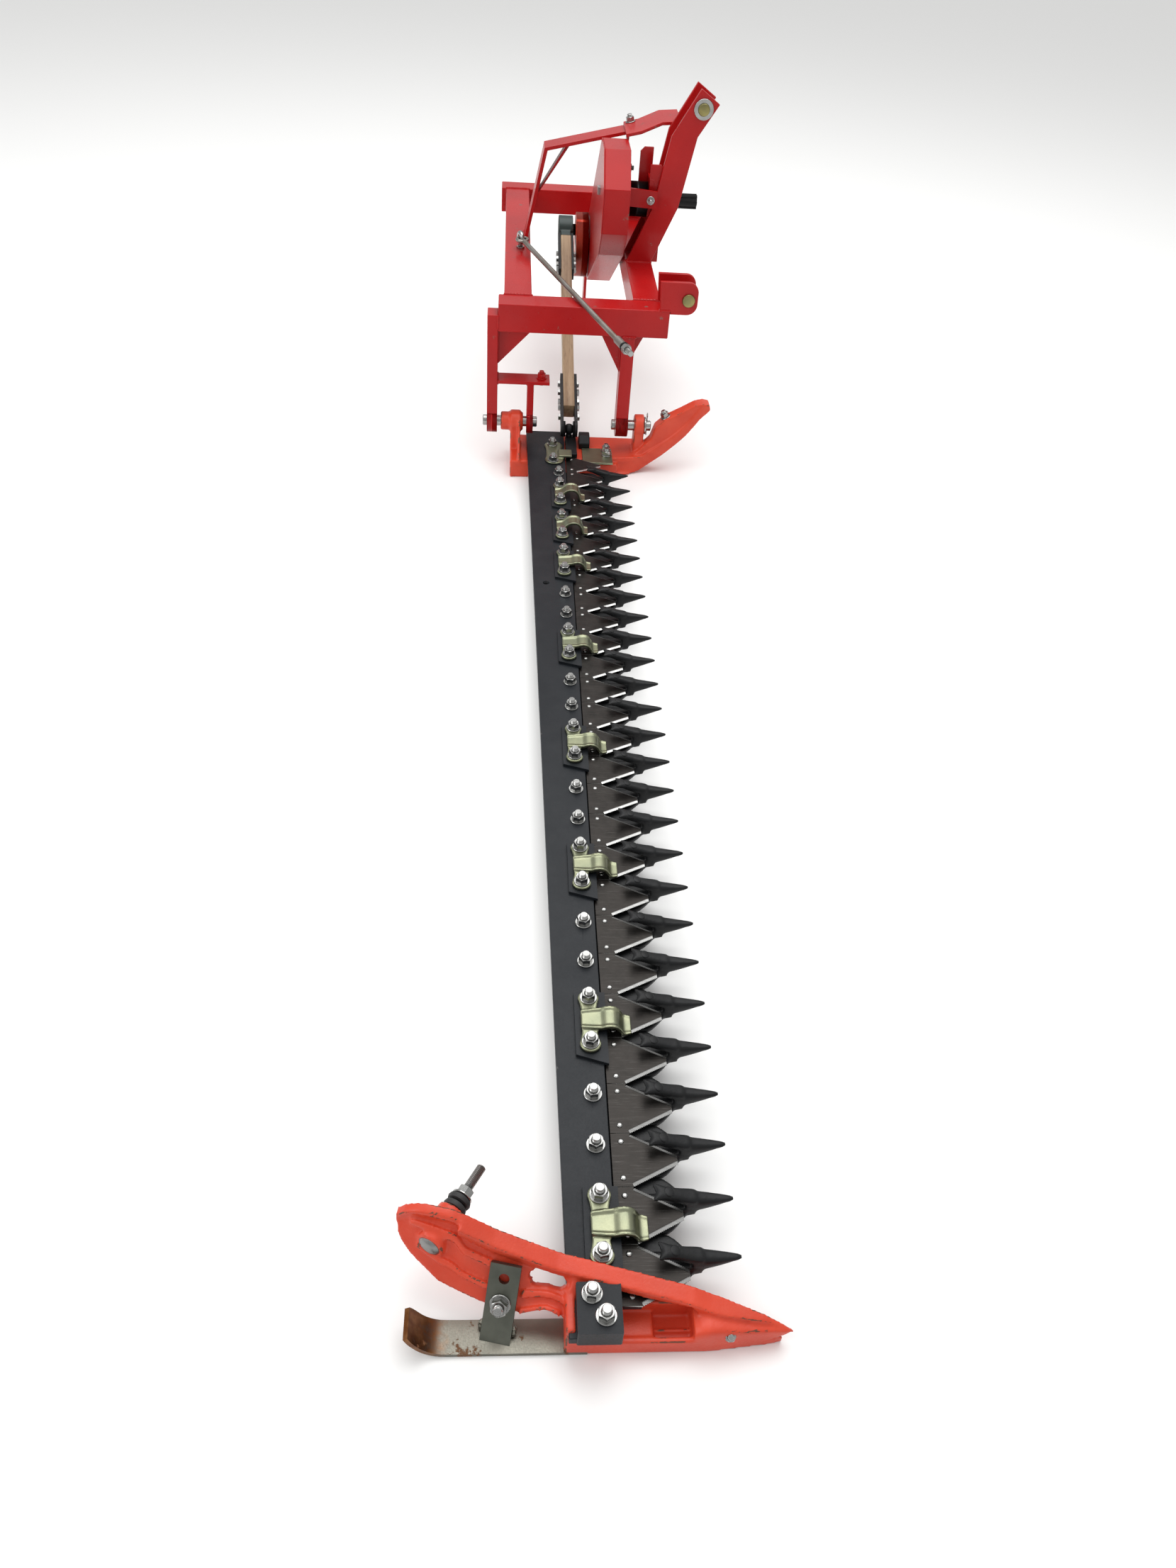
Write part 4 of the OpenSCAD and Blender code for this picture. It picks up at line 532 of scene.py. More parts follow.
# Flywheel: an iron casting with a heavy turned rim and the boss of the crank pin, in orange red paint. It
# sits on the end of the crank shaft.
orange_cast = coated(
    "orange cast", (0.66, 0.062, 0.026), (0.56, 0.045, 0.018), (0.16, 0.07, 0.045), (0.30, 0.44), (0.45, 0.6),
    metal=(0.0, 0.5), patch_size=0.07, speck_size=0.003, relief=0.0006, edge_wear=0.52, scuffs=0.70, gloss=0.35,
    dust=((0.62, 0.12, 0.07), 0.2),
)
dressed("flywheel", orange_cast, 0.003, 3)

# Bearing cheeks: two cut plates that box in the upright bearing plate, and a tab from the guard that is
# bolted to the near one, all in the red of the frame.


def prism(outline, low, high):
    """A closed outline carried straight up from a low to a high level, with flat ends."""
    outline = np.asarray(outline, float)
    return closed_tube(np.stack([np.insert(outline, 2, level, axis=1) for level in (low, high)]))


def on_edge(outline, y0, y1):
    """A plate on edge: an outline in X and Z carried along Y."""
    points, faces = prism(outline, y0, y1)
    return points[:, [0, 2, 1]], faces


made("bearing_cheeks", [
    on_edge([(212, 394), (248, 394), (248, 606), (238, 620), (212, 620)], 373.5, 379.5),
    on_edge([(190, 562), (222, 562), (222, 645), (200, 645), (190, 635)], 430.5, 436.5),
    on_edge([(158, 530), (232, 526), (232, 566), (158, 572)], 350, 356),
], red_enamel, "frame", "red_paint", crease=30)

# Frame bolts: hexagon bolts with washers and nuts that hold the guard, its brace and the tab of the bearing
# cheek, plated bright. The bolt of the hinge bracket is painted over in red.


def hex_radius(turn, corner):
    """Distance from the axis to the side of a hexagon whose corners lie at a radius."""
    return corner * math.cos(math.pi / 6) / np.cos((turn + 1e-9) % (math.pi / 3) - math.pi / 6)


def hexagon(corner, height, bore, sides=48, lower_cone=True):
    """A nut, or a bolt head where bore is 0: the sides of a hexagon cut by a cone of 30 degrees at the ends."""
    turn = np.linspace(0, 2 * np.pi, sides, endpoint=False)
    wall = hex_radius(turn, corner)
    face = corner * math.cos(math.pi / 6) * 0.97
    drop = (wall - face) * math.tan(math.pi / 6)
    mouth = bore * 1.12
    lip = 0.06 * bore
    level = np.zeros(sides)
    rows = [
        (level + bore, level + lip), (level + mouth, level),
        (level + face, level) if lower_cone else (wall, level),
        (wall, drop if lower_cone else level), (wall, height - drop), (level + face, level + height),
        (level + mouth, level + height), (level + bore, level + height - lip),
    ]
    radius, rise = (np.stack(column) for column in zip(*rows))
    grid = np.stack([radius * np.cos(turn), radius * np.sin(turn), rise], -1)
    return skin(grid, wrap_u=bore > 0, wrap_v=True)


def threaded(radius, low, high, pitch=1.75, sides=20):
    """A bolt end: the radius falls and rises as a saw in height / pitch - turn / 360 degrees, and narrows
    over the last pitch to a flat tip."""
    rows = int((high - low) / pitch * 6) + 2
    height = np.linspace(low, high, rows)[:, None]
    turn = np.linspace(0, 2 * np.pi, sides, endpoint=False)
    saw = np.abs(((height / pitch - turn / (2 * np.pi)) % 1) * 2 - 1)
    depth = 0.6 * pitch
    reach = radius - depth * (1 - saw) * np.clip((high - height) / pitch, 0, 1)
    reach = np.minimum(reach, radius - depth * 0.9 + np.maximum(0, high - height))
    body = np.stack([reach * np.cos(turn), reach * np.sin(turn), np.repeat(height, sides, 1)], -1)
    cap = np.zeros((1, sides, 3))
    return skin(np.vstack([cap + (0, 0, low), body, cap + (0, 0, high)]), wrap_v=True)


def bolted(origin, axis, grip, spin=0.0, bolt_r=6, nut_r=10.5, nut_h=10, rim=12.5, plate=2.5, stick=6,
           head_h=7):
    """A bolt whose head lies behind its origin, with washer, nut and thread past the grip."""
    up = np.asarray(axis, float) / np.linalg.norm(axis)
    seat = np.asarray(origin, float) + grip * up
    head, head_faces = hexagon(nut_r, head_h, 0, lower_cone=False)
    return [
        placed((head * (1, 1, -1), head_faces), origin, axis, spin),
        placed(washer(rim, bolt_r + 0.3, plate), seat, axis),
        placed(hexagon(nut_r, nut_h, bolt_r - 0.4), seat + plate * up, axis, spin),
        placed(threaded(bolt_r, 0, plate + nut_h + stick), seat, axis, spin),
    ]


arm_foot, arm_len, arm_climb, arm_t = 613, 233, 55, 16
arm_rise = math.atan2(arm_climb, arm_len)
arm_grip = arm_t * math.cos(arm_rise)
brace_axis = np.array((-math.sin(arm_rise), 0, math.cos(arm_rise)))
brace_seat = np.array((172, 549.5, arm_foot + arm_climb * 215 / arm_len))
guard_bolt = (157, 518, arm_foot + arm_climb * 203 / arm_len - 87)
bracket_bolt, tab_bolt, rear_bolt = (-43.5, 55, 204), (216, 363, 545), (98, 405, 549)
small_bolt = dict(bolt_r=5, nut_r=8, nut_h=6, rim=10, plate=1.5, stick=3, head_h=5)
made("bracket_bolt", bolted(bracket_bolt, upwards, 8, 0.4), red_enamel, "frame", "red_paint", crease=28)
made("frame_bolts_plated", [
    *bolted(guard_bolt, (1, 0, 0), 9, 0.2),
    *bolted(tab_bolt, (0, -1, 0), 13, 0.2, **small_bolt),
    placed(hexagon(11, 10, 0, lower_cone=False), rear_bolt, (-1, 0, 0), 0.2),
    *bolted(brace_seat - arm_grip / 2 * brace_axis, brace_axis, arm_grip, 0.7),
], bright_zinc, "frame", "bright_steel", ("frame_bolts",), crease=28)

# Stay rod and eye bolt: round bar bent to a ring that hangs in the eye on the rear tube. Bare steel
# that has gone dull, with thin brown rust.
dull_steel = coated(
    "dull steel", (0.30, 0.28, 0.26), (0.22, 0.19, 0.16), (0.16, 0.07, 0.03), (0.35, 0.5), (0.7, 0.85),
    metal=(1.0, 0.2), patch_size=0.05, speck_size=0.002, relief=0.0001, edge_wear=0.8, scuffs=0.66,
)
dressed("eye_bolt", bright_zinc, 0.0006)
dressed("stay_rod", dull_steel, 0.0006)
stay_drop = math.radians(2.5)
stay_side = math.radians(20.2)
stay_axis = np.array((
    math.sin(stay_side) * math.cos(stay_drop), -math.cos(stay_side) * math.cos(stay_drop), -math.sin(stay_drop),
))
stay_eye = np.array((-98, 428, 420))
made("stay_nut", [
    placed(hexagon(11.4, 12.4, 5.6), stay_eye + 659.8 * stay_axis, stay_axis, 0.2),
    placed(threaded(6.5, 672, 692, 1.75), stay_eye, stay_axis),
], bright_zinc, "stay", "bright_steel", crease=28)
made("stay_collar", [
    placed(washer(10.6, 6, 5), stay_eye + 652 * stay_axis, stay_axis),
], black_cast, "stay", "black_cast", crease=28)

# Parking stand: a length of red steel tube with a square foot plate, welded under the far tube so that the
# machine stands by itself.
dressed("parking_stand", red_enamel, 0.0012)

# Cutter bar: a tapered flat bar of rolled steel with a slate black skin, rubbed along its edges. It is
# bolted to the inner shoe and carries the fingers, the clips and the outer shoe.
bar_steel = coated(
    "slate bar", (0.007, 0.009, 0.012), (0.012, 0.014, 0.017), (0.14, 0.135, 0.13), (0.34, 0.48), (0.35, 0.5),
    metal=(0.0, 1.0), patch_size=0.09, speck_size=0.002, relief=0.0001, edge_wear=0.64, scuffs=0.80, gloss=0.22,
    dust=((0.030, 0.033, 0.036), 0.25),
)
dressed("cutter_bar", bar_steel, 0.0010)

# Guard fingers: 27 iron castings bolted under the bar's front edge. Each has a scalloped base, a ledger
# under the knife, a lip with a forked rear end over it and a rounded spear point, in satin black.
finger_step = 76.2
finger_first = 128.8
finger_count = 27


def finger_y(i):
    """Place of a finger along the bar, counted from the inner shoe, in millimetres."""
    return -finger_first - finger_step * i


def barrel(x, half, low, high, power=2.6, fork=0.0, dish=0.0, sides=28):
    """Superellipses of a power carried along X, each half wide to both sides and from low to high. A fork
    moves the rear end of each line forward by its square distance from the edge, and a dish hollows the top."""
    turn = np.linspace(0, 2 * np.pi, sides, endpoint=False)
    c, s = (np.sign(f) * np.abs(f) ** (2 / power) for f in (np.cos(turn), np.sin(turn)))
    x, half, low, high = (np.asarray(v, float)[:, None] for v in (x, half, low, high))
    y = half * c
    z = (low + high) / 2 + (high - low) / 2 * s
    z = z - dish * np.exp(-((c / 0.45) ** 2)) * (s > 0) * np.sqrt(np.maximum(half / half.max(), 0.2))
    share = (x - x[0]) / (x[-1] - x[0])
    forward = x + fork * (1 - c**2) * (1 - share) ** 2
    grid = np.stack([forward, y, z], -1)
    ends = [np.repeat(row.mean(0)[None, None], sides, 1) for row in (grid[0], grid[-1])]
    return skin(np.vstack([ends[0], grid, ends[1]]), wrap_v=True)


def fused(name, shells=(), grain=0.0018, passes=4, rough=None):
    """One skin round overlapping shells, as a mould gives: the inside is filled with cells of a grain and
    skinned, then each corner moves half way to the mean of its neighbours a few times, which rounds edges
    and leaves fillets."""
    lump = bpy.data.objects.new(name, rough or solid(name, shells))
    bpy.context.scene.collection.objects.link(lump)
    cells = lump.modifiers.new("cells", "REMESH")
    cells.mode = "VOXEL"
    cells.voxel_size = grain
    mesh = bpy.data.meshes.new_from_object(lump.evaluated_get(bpy.context.evaluated_depsgraph_get()))
    bpy.data.objects.remove(lump)
    points = read(mesh.vertices, "co", 3)
    a, b = read(mesh.edges, "vertices", 2, np.int32).T
    start, end = np.concatenate([a, b]), np.concatenate([b, a])
    count = np.bincount(start, minlength=len(points))
    for _ in range(passes):
        total = np.stack([np.bincount(start, points[end, k], len(points)) for k in range(3)], -1)
        points = 0.5 * points + 0.5 * total / count[:, None]
    mesh.vertices.foreach_set("co", points.ravel())
    mesh.update()
    mesh.name = name
    return mesh


def rowed(name, mesh, steps):
    """Copies of a mesh, each moved by its own step in millimetres, as one mesh."""
    points = read(mesh.vertices, "co", 3)
    corner = read(mesh.loops, "vertex_index", kind=np.int32)
    start = read(mesh.polygons, "loop_start", kind=np.int32)
    steps = np.asarray(steps, float) * mm
    turn = np.arange(len(steps), dtype=np.int32)[:, None]
    row = bpy.data.meshes.new(name)
    row.vertices.add(len(points) * len(steps))
    row.loops.add(len(corner) * len(steps))
    row.polygons.add(len(start) * len(steps))
    row.vertices.foreach_set("co", (points + steps[:, None]).ravel())
    row.loops.foreach_set("vertex_index", (corner + len(points) * turn).ravel())
    row.polygons.foreach_set("loop_start", (start + len(corner) * turn).ravel())
    row.update(calc_edges=True)
    return row


pad_low, pad_top, pad_rear, pad_half = 33, 43, 18, 37.7
base_top = 41
scoop = np.array([(82, pad_half), (86, 35.6), (92, 31), (98, 25), (104, 18.4), (109, 12.6), (113, 9)])
base = np.vstack([[(-pad_rear, -pad_half)], scoop * (1, -1), scoop[::-1], [(-pad_rear, pad_half)]])
pad = [(-pad_rear, -pad_half), (pad_rear, -pad_half), (pad_rear, pad_half), (-pad_rear, pad_half)]
ledger = barrel(
    [46, 50, 70, 95, 112, 122], [11.6, 12, 12, 11.6, 11, 10], [33, 32.5, 32, 31, 30.5, 33],
    [48.4, 48.4, 48.4, 48.4, 48.4, 47], power=5,
)
lip = barrel(
    [65, 67, 72, 78, 86, 95, 104, 112, 120], [12.8, 12.6, 10.8, 9.2, 8.6, 8.6, 9.4, 10, 9.8],
    [68.6, 67.8, 65.6, 63, 59.4, 55.6, 53, 52.6, 52], [72.8, 73.8, 73.8, 73.2, 71.8, 69.8, 67.6, 65.8, 64.2],
    power=3.4, fork=6.5,
)
spear = barrel(
    [107.8, 112, 118, 126, 135, 145, 154, 161, 165.5, 167.4, 168],
    [10.4, 10.4, 10.2, 9.6, 8.6, 7.2, 5.6, 4.4, 3.4, 2.4, 1.2],
    [33.5, 34, 35.6, 38.4, 41.8, 45.6, 49, 51.4, 52.8, 53.8, 54.6],
    [66.8, 65.8, 64.4, 62.8, 61.4, 60, 59, 58.2, 57.4, 56.8, 56], dish=0.8,
)
plates = [prism(base, pad_low, base_top), prism(pad, pad_low, pad_top)]
finger = fused("finger", [*plates, ledger, lip, spear], passes=2)
for node, first in (("guards_inner", 0), ("guards_middle", 9), ("guards_outer", 18)):
    row = rowed(node + "_cast", finger, [(0, finger_y(i), 0) for i in range(first, first + 9)])
    shown(node + "_cast", row, black_cast, "bar", "black_cast", (node,), crease=60, sharp=260)
disc = turned([(0, 1.1), (5.6, 1.1), (6.6, 0.7), (7, -0.2), (7, -2), (0, -2)], 20)
made("finger_discs", [
    placed(disc, (86, finger_y(i), 71.6), (0.2, 0, 0.98)) for i in range(finger_count)
], black_cast, "bar", "black_cast", crease=50)

# Guard bolts: a plated steel bolt goes up through each finger and the bar, with a washer and a bright nut on
# top. Where a clip lies over the bar the bolt is longer.
clip_firsts = (1, 3, 5, 9, 13, 17, 21, 25)
clipped = {f + k for f in clip_firsts for k in (0, 1)}
short_grip, long_grip = 22, 33
guard_bolts = [
    bolted((0, finger_y(i), pad_low), upwards, long_grip if i in clipped else short_grip, 0.37 * i)
    for i in range(finger_count)
]
heads, washers, nuts, threads = zip(*guard_bolts)
nut_parts = [part for bolt in zip(heads, nuts, threads) for part in bolt]
made("guard_nuts", nut_parts, bright_zinc, "bar", "bright_steel", ("guard_bolts",), crease=28)
made("guard_washers", washers, bright_zinc, "bar", "bright_steel", crease=28)

# Wear plates: hardened black steel plates that lie on the bar under the clips, held by the same bolts. They
# are cut off at a slant at their outer ends.
bar_top, wear_top = 55, 60
wear_rear, wear_front = -20, 24
made("wear_plates_cut", [
    prism([
        (wear_rear, finger_y(f + 1) - 16), (wear_front, finger_y(f + 1) - 31), (wear_front, finger_y(f) + 15),
        (wear_rear, finger_y(f) + 15),
    ], bar_top, wear_top)
    for f in clip_firsts
], bar_steel, "bar", "black_cast", ("wear_plates",), crease=30)

# Knife clips: drop-forged hold-downs on pairs of guard bolts, plated. A bone-shaped foot lies round the
# two bolts, and a ribbed tongue arches over to a flat nose that keeps the knife down.


def bone(half, end_r, waist):
    """Two round ends at a half distance to both sides, joined by sides that narrow to a waist."""
    y = np.linspace(-half, half, 17)
    x = waist + (end_r - waist) * np.abs(y / half) ** 3
    turn = np.linspace(0, np.pi, 13)[1:-1]
    end = np.column_stack([end_r * np.cos(turn), half + end_r * np.sin(turn)])
    side = np.column_stack([x, y])
    return np.vstack([side, end, -side, -end])


def eased(path, times=2):
    """A path with its corners cut: each leg keeps the points at a quarter and at three quarters."""
    path = np.asarray(path, float)
    for _ in range(times):
        legs = np.stack([0.75 * path[:-1] + 0.25 * path[1:], 0.25 * path[:-1] + 0.75 * path[1:]], 1)
        path = np.vstack([path[:1], legs.reshape(-1, 2), path[-1:]])
    return path


def tongue(path, section, wide, thick):
    """A section drawn in Y and its normal, carried along a path in X and Z and scaled along the way."""
    path = eased(path)
    ahead = np.gradient(path, axis=0)
    ahead /= np.linalg.norm(ahead, axis=1)[:, None]
    across, lift = np.asarray(section, float).T
    share = np.linspace(0, 1, len(path))
    wide, thick = (np.interp(share, np.linspace(0, 1, len(v)), v)[:, None] for v in (wide, thick))
    x = path[:, :1] - ahead[:, 1:] * lift * thick
    z = path[:, 1:] + ahead[:, :1] * lift * thick
    return closed_tube(np.stack([x, across * wide, z], -1))


channel = [(-18.5, -2.5), (18.5, -2.5), (18.5, 4.2), (14.5, 4.2), (12, 2), (-12, 2), (-14.5, 4.2), (-18.5, 4.2)]
tongue_wide = [0.8, 0.95, 1, 1, 1, 1, 0.97, 0.8]
tongue_thick = [1, 1, 1, 0.95, 0.85, 0.8, 0.75, 0.6, 0.5, 0.5]
foot = prism(bone(finger_step / 2, 15, 10.5), wear_top, wear_top + 6)
low_path = [
    (-12, 65.4), (4, 66), (14, 66.4), (18, 67.4), (23, 70), (31, 71), (38, 68.5), (43, 61), (46, 55.4),
    (51, 54), (59, 53.8),
]
high_path = [
    (-12, 65), (0, 65.5), (8, 69), (13, 75), (21, 79), (31, 79.5), (39, 75), (43, 66), (46, 56), (51, 54),
    (59, 53.8),
]
low_clip = fused("low_clip", [foot, tongue(low_path, channel, tongue_wide, tongue_thick)], 0.0013, 3)
high_clip = fused("high_clip", [foot, tongue(high_path, channel, tongue_wide, tongue_thick)], 0.0013, 3)
low_steps = [(0, finger_y(f + 0.5), 0) for f in clip_firsts[2:]]
high_steps = [(0, finger_y(f + 0.5), 0) for f in clip_firsts[:2]]
shown("low_clips_forged", rowed("low_clips_forged", low_clip, low_steps), yellow_zinc, "bar", "yellow_zinc",
      ("low_clips",), crease=60, sharp=260)
shown("arched_clips_forged", rowed("arched_clips_forged", high_clip, high_steps), yellow_zinc, "bar",
      "yellow_zinc", ("arched_clips",), crease=60, sharp=260)

# Inner shoe: a heavy iron casting that slides on the ground under the headstock, with two hinge lugs,
# a deep turned-up nose and a rear fin, in orange red paint.


def recast(node, finish, grain, passes, extra=(), sharp=160, bent=None):
    """A solid remade as a casting: its copy, bent if asked and with extra shells, gets one rounded and
    filleted skin."""
    rough = frame["nodes"][node].data.copy()
    rough.materials.clear()
    if bent:
        rough.vertices.foreach_set("co", (bent(read(rough.vertices, "co", 3) / mm) * mm).ravel())
    shape = bmesh.new()
    shape.from_mesh(rough)
    if extra:
        shape.from_mesh(solid(node + "_ribs", extra))
    bmesh.ops.remove_doubles(shape, verts=shape.verts, dist=merge_gap)
    shape.to_mesh(rough)
    shape.free()
    mesh = fused(node + "_cast", grain=grain, passes=passes, rough=rough)
    return shown(node + "_cast", mesh, finish, body_of[node], slot_of[node], (node,), crease=60, sharp=sharp)


nose_start, nose_end, nose_rise = 216, 352, 40
rear_now = [-141, -86, -70, nose_end]
rear_drawn = [-117, -92, -70, nose_end]
near_side_x, near_side_y = [110, nose_start, nose_end], [-46, 0, 6]


def turned_up(points):
    """The rear end drawn in to the width of the fin, and the nose past the front lug narrowed and lifted: a
    share grows from 0 to 1 along the nose, and the width halves over its first part."""
    x, y, z = points.T
    lift = np.clip((x - nose_start) / (nose_end - nose_start), 0, 1)
    early = np.minimum(lift * 2.6, 1)
    slim = early**2 * (3 - 2 * early)
    side = np.maximum(y * (1 - 0.5 * slim) + 24 * slim, np.interp(x, near_side_x, near_side_y))
    return np.column_stack([np.interp(x, rear_now, rear_drawn), side, z + nose_rise * lift**0.65])


flank = [
    (160, 6), (210, 24), (262, 50), (304, 90), (334, 130), (362, 156), (371, 167), (367, 180), (352, 183),
    (332, 178), (300, 159), (262, 138), (240, 116), (230, 84), (205, 56), (180, 34),
]
hinge_boss = turned([(12.8, 0), (20, 0), (22, 2), (22, 53), (20, 55), (12.8, 55)], ring=True)
recast("inner_shoe", orange_cast, 0.0024, 3, [
    on_edge(flank, 8, 42), placed(hinge_boss, (-141, *hinge_line), (1, 0, 0)),
], sharp=110, bent=turned_up)

# Cap, guide and plate of the knife head: a plated forged cap bolted on the bar's end, a black cast guide
# and a plated wear plate in front of the knife head. They keep the head down and in line.
cap_rear, cap_near, cap_far, cap_top = 1.5, -56, -20, 66.4
cap_foot = prism(bone(36, 23, 19) + (-9, -24), bar_top, wear_top)
cap = fused("cap", [cap_foot] + [
    prism([(cap_rear, cap_near), (front, cap_near), (front, cap_far), (cap_rear, cap_far)], low, cap_top)
    for front, low in ((16, 56), (34, 60.6))
], 0.0014, 3)
shown("head_cap_forged", cap, yellow_zinc, "bar", "yellow_zinc", ("head_cap",), crease=60, sharp=260)
recast("head_guide", black_cast, 0.0015, 4, sharp=260)
dressed("guide_plate", yellow_zinc, 0.0008)

# Outer shoe: an iron casting that divides the cut grass from the standing, with a rail from heel to tip,
# a leaning slotted web with ribs behind the bar and a pointed nose.
outer_y = finger_y(finger_count)
heel_x, heel_y, tip_x, tip_y = -225, 104, 220, 2
rail_turn = math.atan2(tip_y - heel_y, tip_x - heel_x)
rail_ahead = np.array((math.cos(rail_turn), math.sin(rail_turn), 0))
rail_aside = np.array((-math.sin(rail_turn), math.cos(rail_turn), 0))
rail_heel = np.array((heel_x, outer_y + heel_y, 0))
rail_u = [-17, -5, 8, 30, 50, 64, 100, 143, 177, 228, 287, 321, 340, 356, 390, 424, 450, 458]
rail_z = [108, 120, 127, 129, 128, 122, 104, 90, 80, 75, 69, 66, 63, 57, 49, 42, 31, 24]
rail_tip, tip_taper = 462, 90
knife_end_u, knife_clear = 341, 54
web_join = [58, 70]
web_lean = math.radians(35)
web_in = math.cos(web_lean) * rail_aside - math.sin(web_lean) * upwards
web_up = math.sin(web_lean) * rail_aside + math.cos(web_lean) * upwards
web_foot = rail_heel - 66 * rail_aside + 14 * upwards
web_run = [-16, -14, -11, 0, 10, 43, 77, 103, 142, 160, 172, 185, 197, 207, 218]
web_edge = [110, 99, 88, 75, 66, 42.5, 33, 27, 25, 33, 37, 35, 27, 15, 2]
stud_turn = math.radians(17.2)
stud_axis = math.sin(stud_turn) * rail_ahead + math.cos(stud_turn) * rail_aside
stud_start = rail_heel + 30.4 * rail_ahead - 14 * rail_aside + 88 * upwards


def by_rail(u, v, z):
    """Places given by the distance along the rail from its heel, across it to the far side, and up."""
    u, v, z = (np.asarray(k, float)[:, None] for k in np.broadcast_arrays(u, v, z))
    return rail_heel + u * rail_ahead + v * rail_aside + z * upwards


def rail_length(u0, u1, far, near, thick, tilt):
    """A length of the rail: four lines along it, the edges of a bar, whose top follows a row of heights and
    falls by a tilt to the near side. It narrows to the tip and stays above the knife."""
    u = np.linspace(u0, u1, int((u1 - u0) / 5))
    top = np.interp(u, rail_u, rail_z)
    slim = np.clip((rail_tip - u) / tip_taper, 0.15, 1)
    floor = np.where(u < knife_end_u, knife_clear, 0)
    sides = [(far * slim, top), (near * slim, top - tilt * slim)]
    upper = [by_rail(u, v, z) for v, z in sides]
    under = [np.maximum(z - thick * np.sqrt(slim), np.minimum(floor, z - 2)) for v, z in sides]
    lower = [by_rail(u, v, z) for (v, _), z in zip(sides[::-1], under[::-1])]
    return closed_tube(np.stack(upper + lower, 1))


def web_piece(run0, run1, low, high, proud=0.0, thick=11.0):
    """A piece of the web between two runs: straight lines go from its lower edge to the rail, and the piece
    takes the part of each line between two shares. A rib stands proud of the near face."""
    run = np.linspace(run0, run1, max(3, int((run1 - run0) / 4)))
    foot = web_foot + run[:, None] * rail_ahead + np.interp(run, web_run, web_edge)[:, None] * web_up
    drop = np.interp(run, web_join, [5, 11])
    head = by_rail(run, np.interp(run, web_join, [3, -7]), np.interp(run, rail_u, rail_z) - drop)
    front = [foot + share * (head - foot) - proud * web_in for share in (low, high)]
    return closed_tube(np.stack(front + [line + (thick + proud) * web_in for line in front[::-1]], 1))


def on_shoe(outline, low, high):
    """A prism whose outline counts Y from the middle of the outer shoe."""
    return prism(np.asarray(outline, float) + (0, outer_y), low, high)


nose_x = [104, 112, 122, 136, 150, 165, 180, 196, 208, 215, 218]
nose, nose_faces = barrel(
    nose_x, [22, 21, 18.5, 15, 12, 10, 8, 6, 4.4, 3, 1.6], [0, 0, 0, 0, 1, 4, 7.5, 12, 17, 21, 23],
    [40, 44, 46, 44, 41, 38, 36, 33.5, 31, 29, 27.5], power=5,
)
nose[:, 1] += outer_y + np.interp(nose[:, 0], nose_x, [10, 9, 7, 5, 3, 2.4, 2, 1.5, 1, 0.5, 0.3])
web_walls = [(-16, 147, 0, 1), (191, 218, 0, 1), (145, 193, 0, 0.5), (145, 193, 0.86, 1)]
web_walls += [(run, run + 6, low, high) for run in (145, 187) for low, high in ((0, 0.6), (0.77, 1))]
web_ribs = [
    (2, 104, 0.66, 0.78, 6), (14, 104, 0.28, 0.38, 6), (-6, 60, 0.92, 1, 6), (142, 196, 0.30, 0.44, 5),
    (142, 190, 0, 0.1, 5), (196, 216, 0.1, 0.9, 5),
]
stud_boss = turned([(0, -8), (16.5, -8), (18, -6.5), (18, 41.5), (0, 41.5)])
sole = [(-36, -12), (120, -12), (198, -4), (212, -1), (206, 6), (150, 14.4), (96, 36), (-36, 36)]
blocks = [
    (-36, 118, -12, -5, 0, 27), (-36, 19, -12, 36, 0, 42.6), (-45, -34, -12, 40, 0, 58),
    (17, 58, -8, 36, 0, 24), (17, 100, 28, 36, 0, 40), (60, 108, 6, 9, 10, 16),
]
shoe_mesh = fused("outer_shoe_cast", [
    rail_length(60, 460, 8, -14, 12, 3), rail_length(-17, 66, 8, -3, 15, 2),
    *(web_piece(*piece) for piece in web_walls + web_ribs), placed(stud_boss, stud_start, stud_axis),
    on_shoe(sole, 0, 12),
    *(on_shoe([(x0, y0), (x1, y0), (x1, y1), (x0, y1)], z0, z1) for x0, x1, y0, y1, z0, z1 in blocks),
    (nose, nose_faces),
], 0.0019, 2)
shown("outer_shoe_cast", shoe_mesh, orange_cast, "bar", slot_of["outer_shoe"], ("outer_shoe",), crease=60,
      sharp=110)

# Shoe bolts: plated bolts and nuts of the cap, the wear plate, the bar's end and the skid, and one in the
# nose of each shoe. They hold the bar and its fittings to the two castings.
skid_bolt = web_foot + 120 * rail_ahead + 12 * web_in + 34 * web_up
nose_bolt = dict(bolt_r=4, nut_r=6.5, nut_h=5, rim=7, plate=1, stick=2)
made("shoe_bolts_plated", [
    shell
    for origin, axis, grip, spin, make in (
        ((-12, -70, pad_low), upwards, 27, 0.2, {}), ((-12, 15, pad_low), upwards, 27, 0.8, {}),
        ((122, -8, pad_low), upwards, 15, 0.3, {}), ((122, 16, pad_low), upwards, 15, 0.6, {}),
        ((0, outer_y, pad_low), upwards, 37, 0.5, {}), (skid_bolt, -web_in, 18, 0.1, {}),
        ((-15, outer_y + 26, pad_top), upwards, 27, 0.9, {}),
        ((146, outer_y - 4, 26), (0, -0.6, 0.8), 4, 0, nose_bolt),
        ((272, 25, 124), (-0.45, 0, 0.9), 16, 0.3, {}),
    )
    for shell in bolted(origin, axis, grip, spin, **make)
], bright_zinc, "bar", "bright_steel", ("shoe_bolts",), crease=28)

# End block: a block sawn from black flat steel with its corners broken, bolted over the outer end of the bar
# into the outer shoe.
block = [
    (-33, -19.4), (-31.6, -20.6), (17.6, -20.6), (19, -19.4), (19, 39), (17.6, 40.4), (-31.6, 40.4), (-33, 39),
]
made("end_block_cut", [on_shoe(block, pad_top, 70)], bar_steel, "bar", "black_cast", ("end_block",), crease=30)

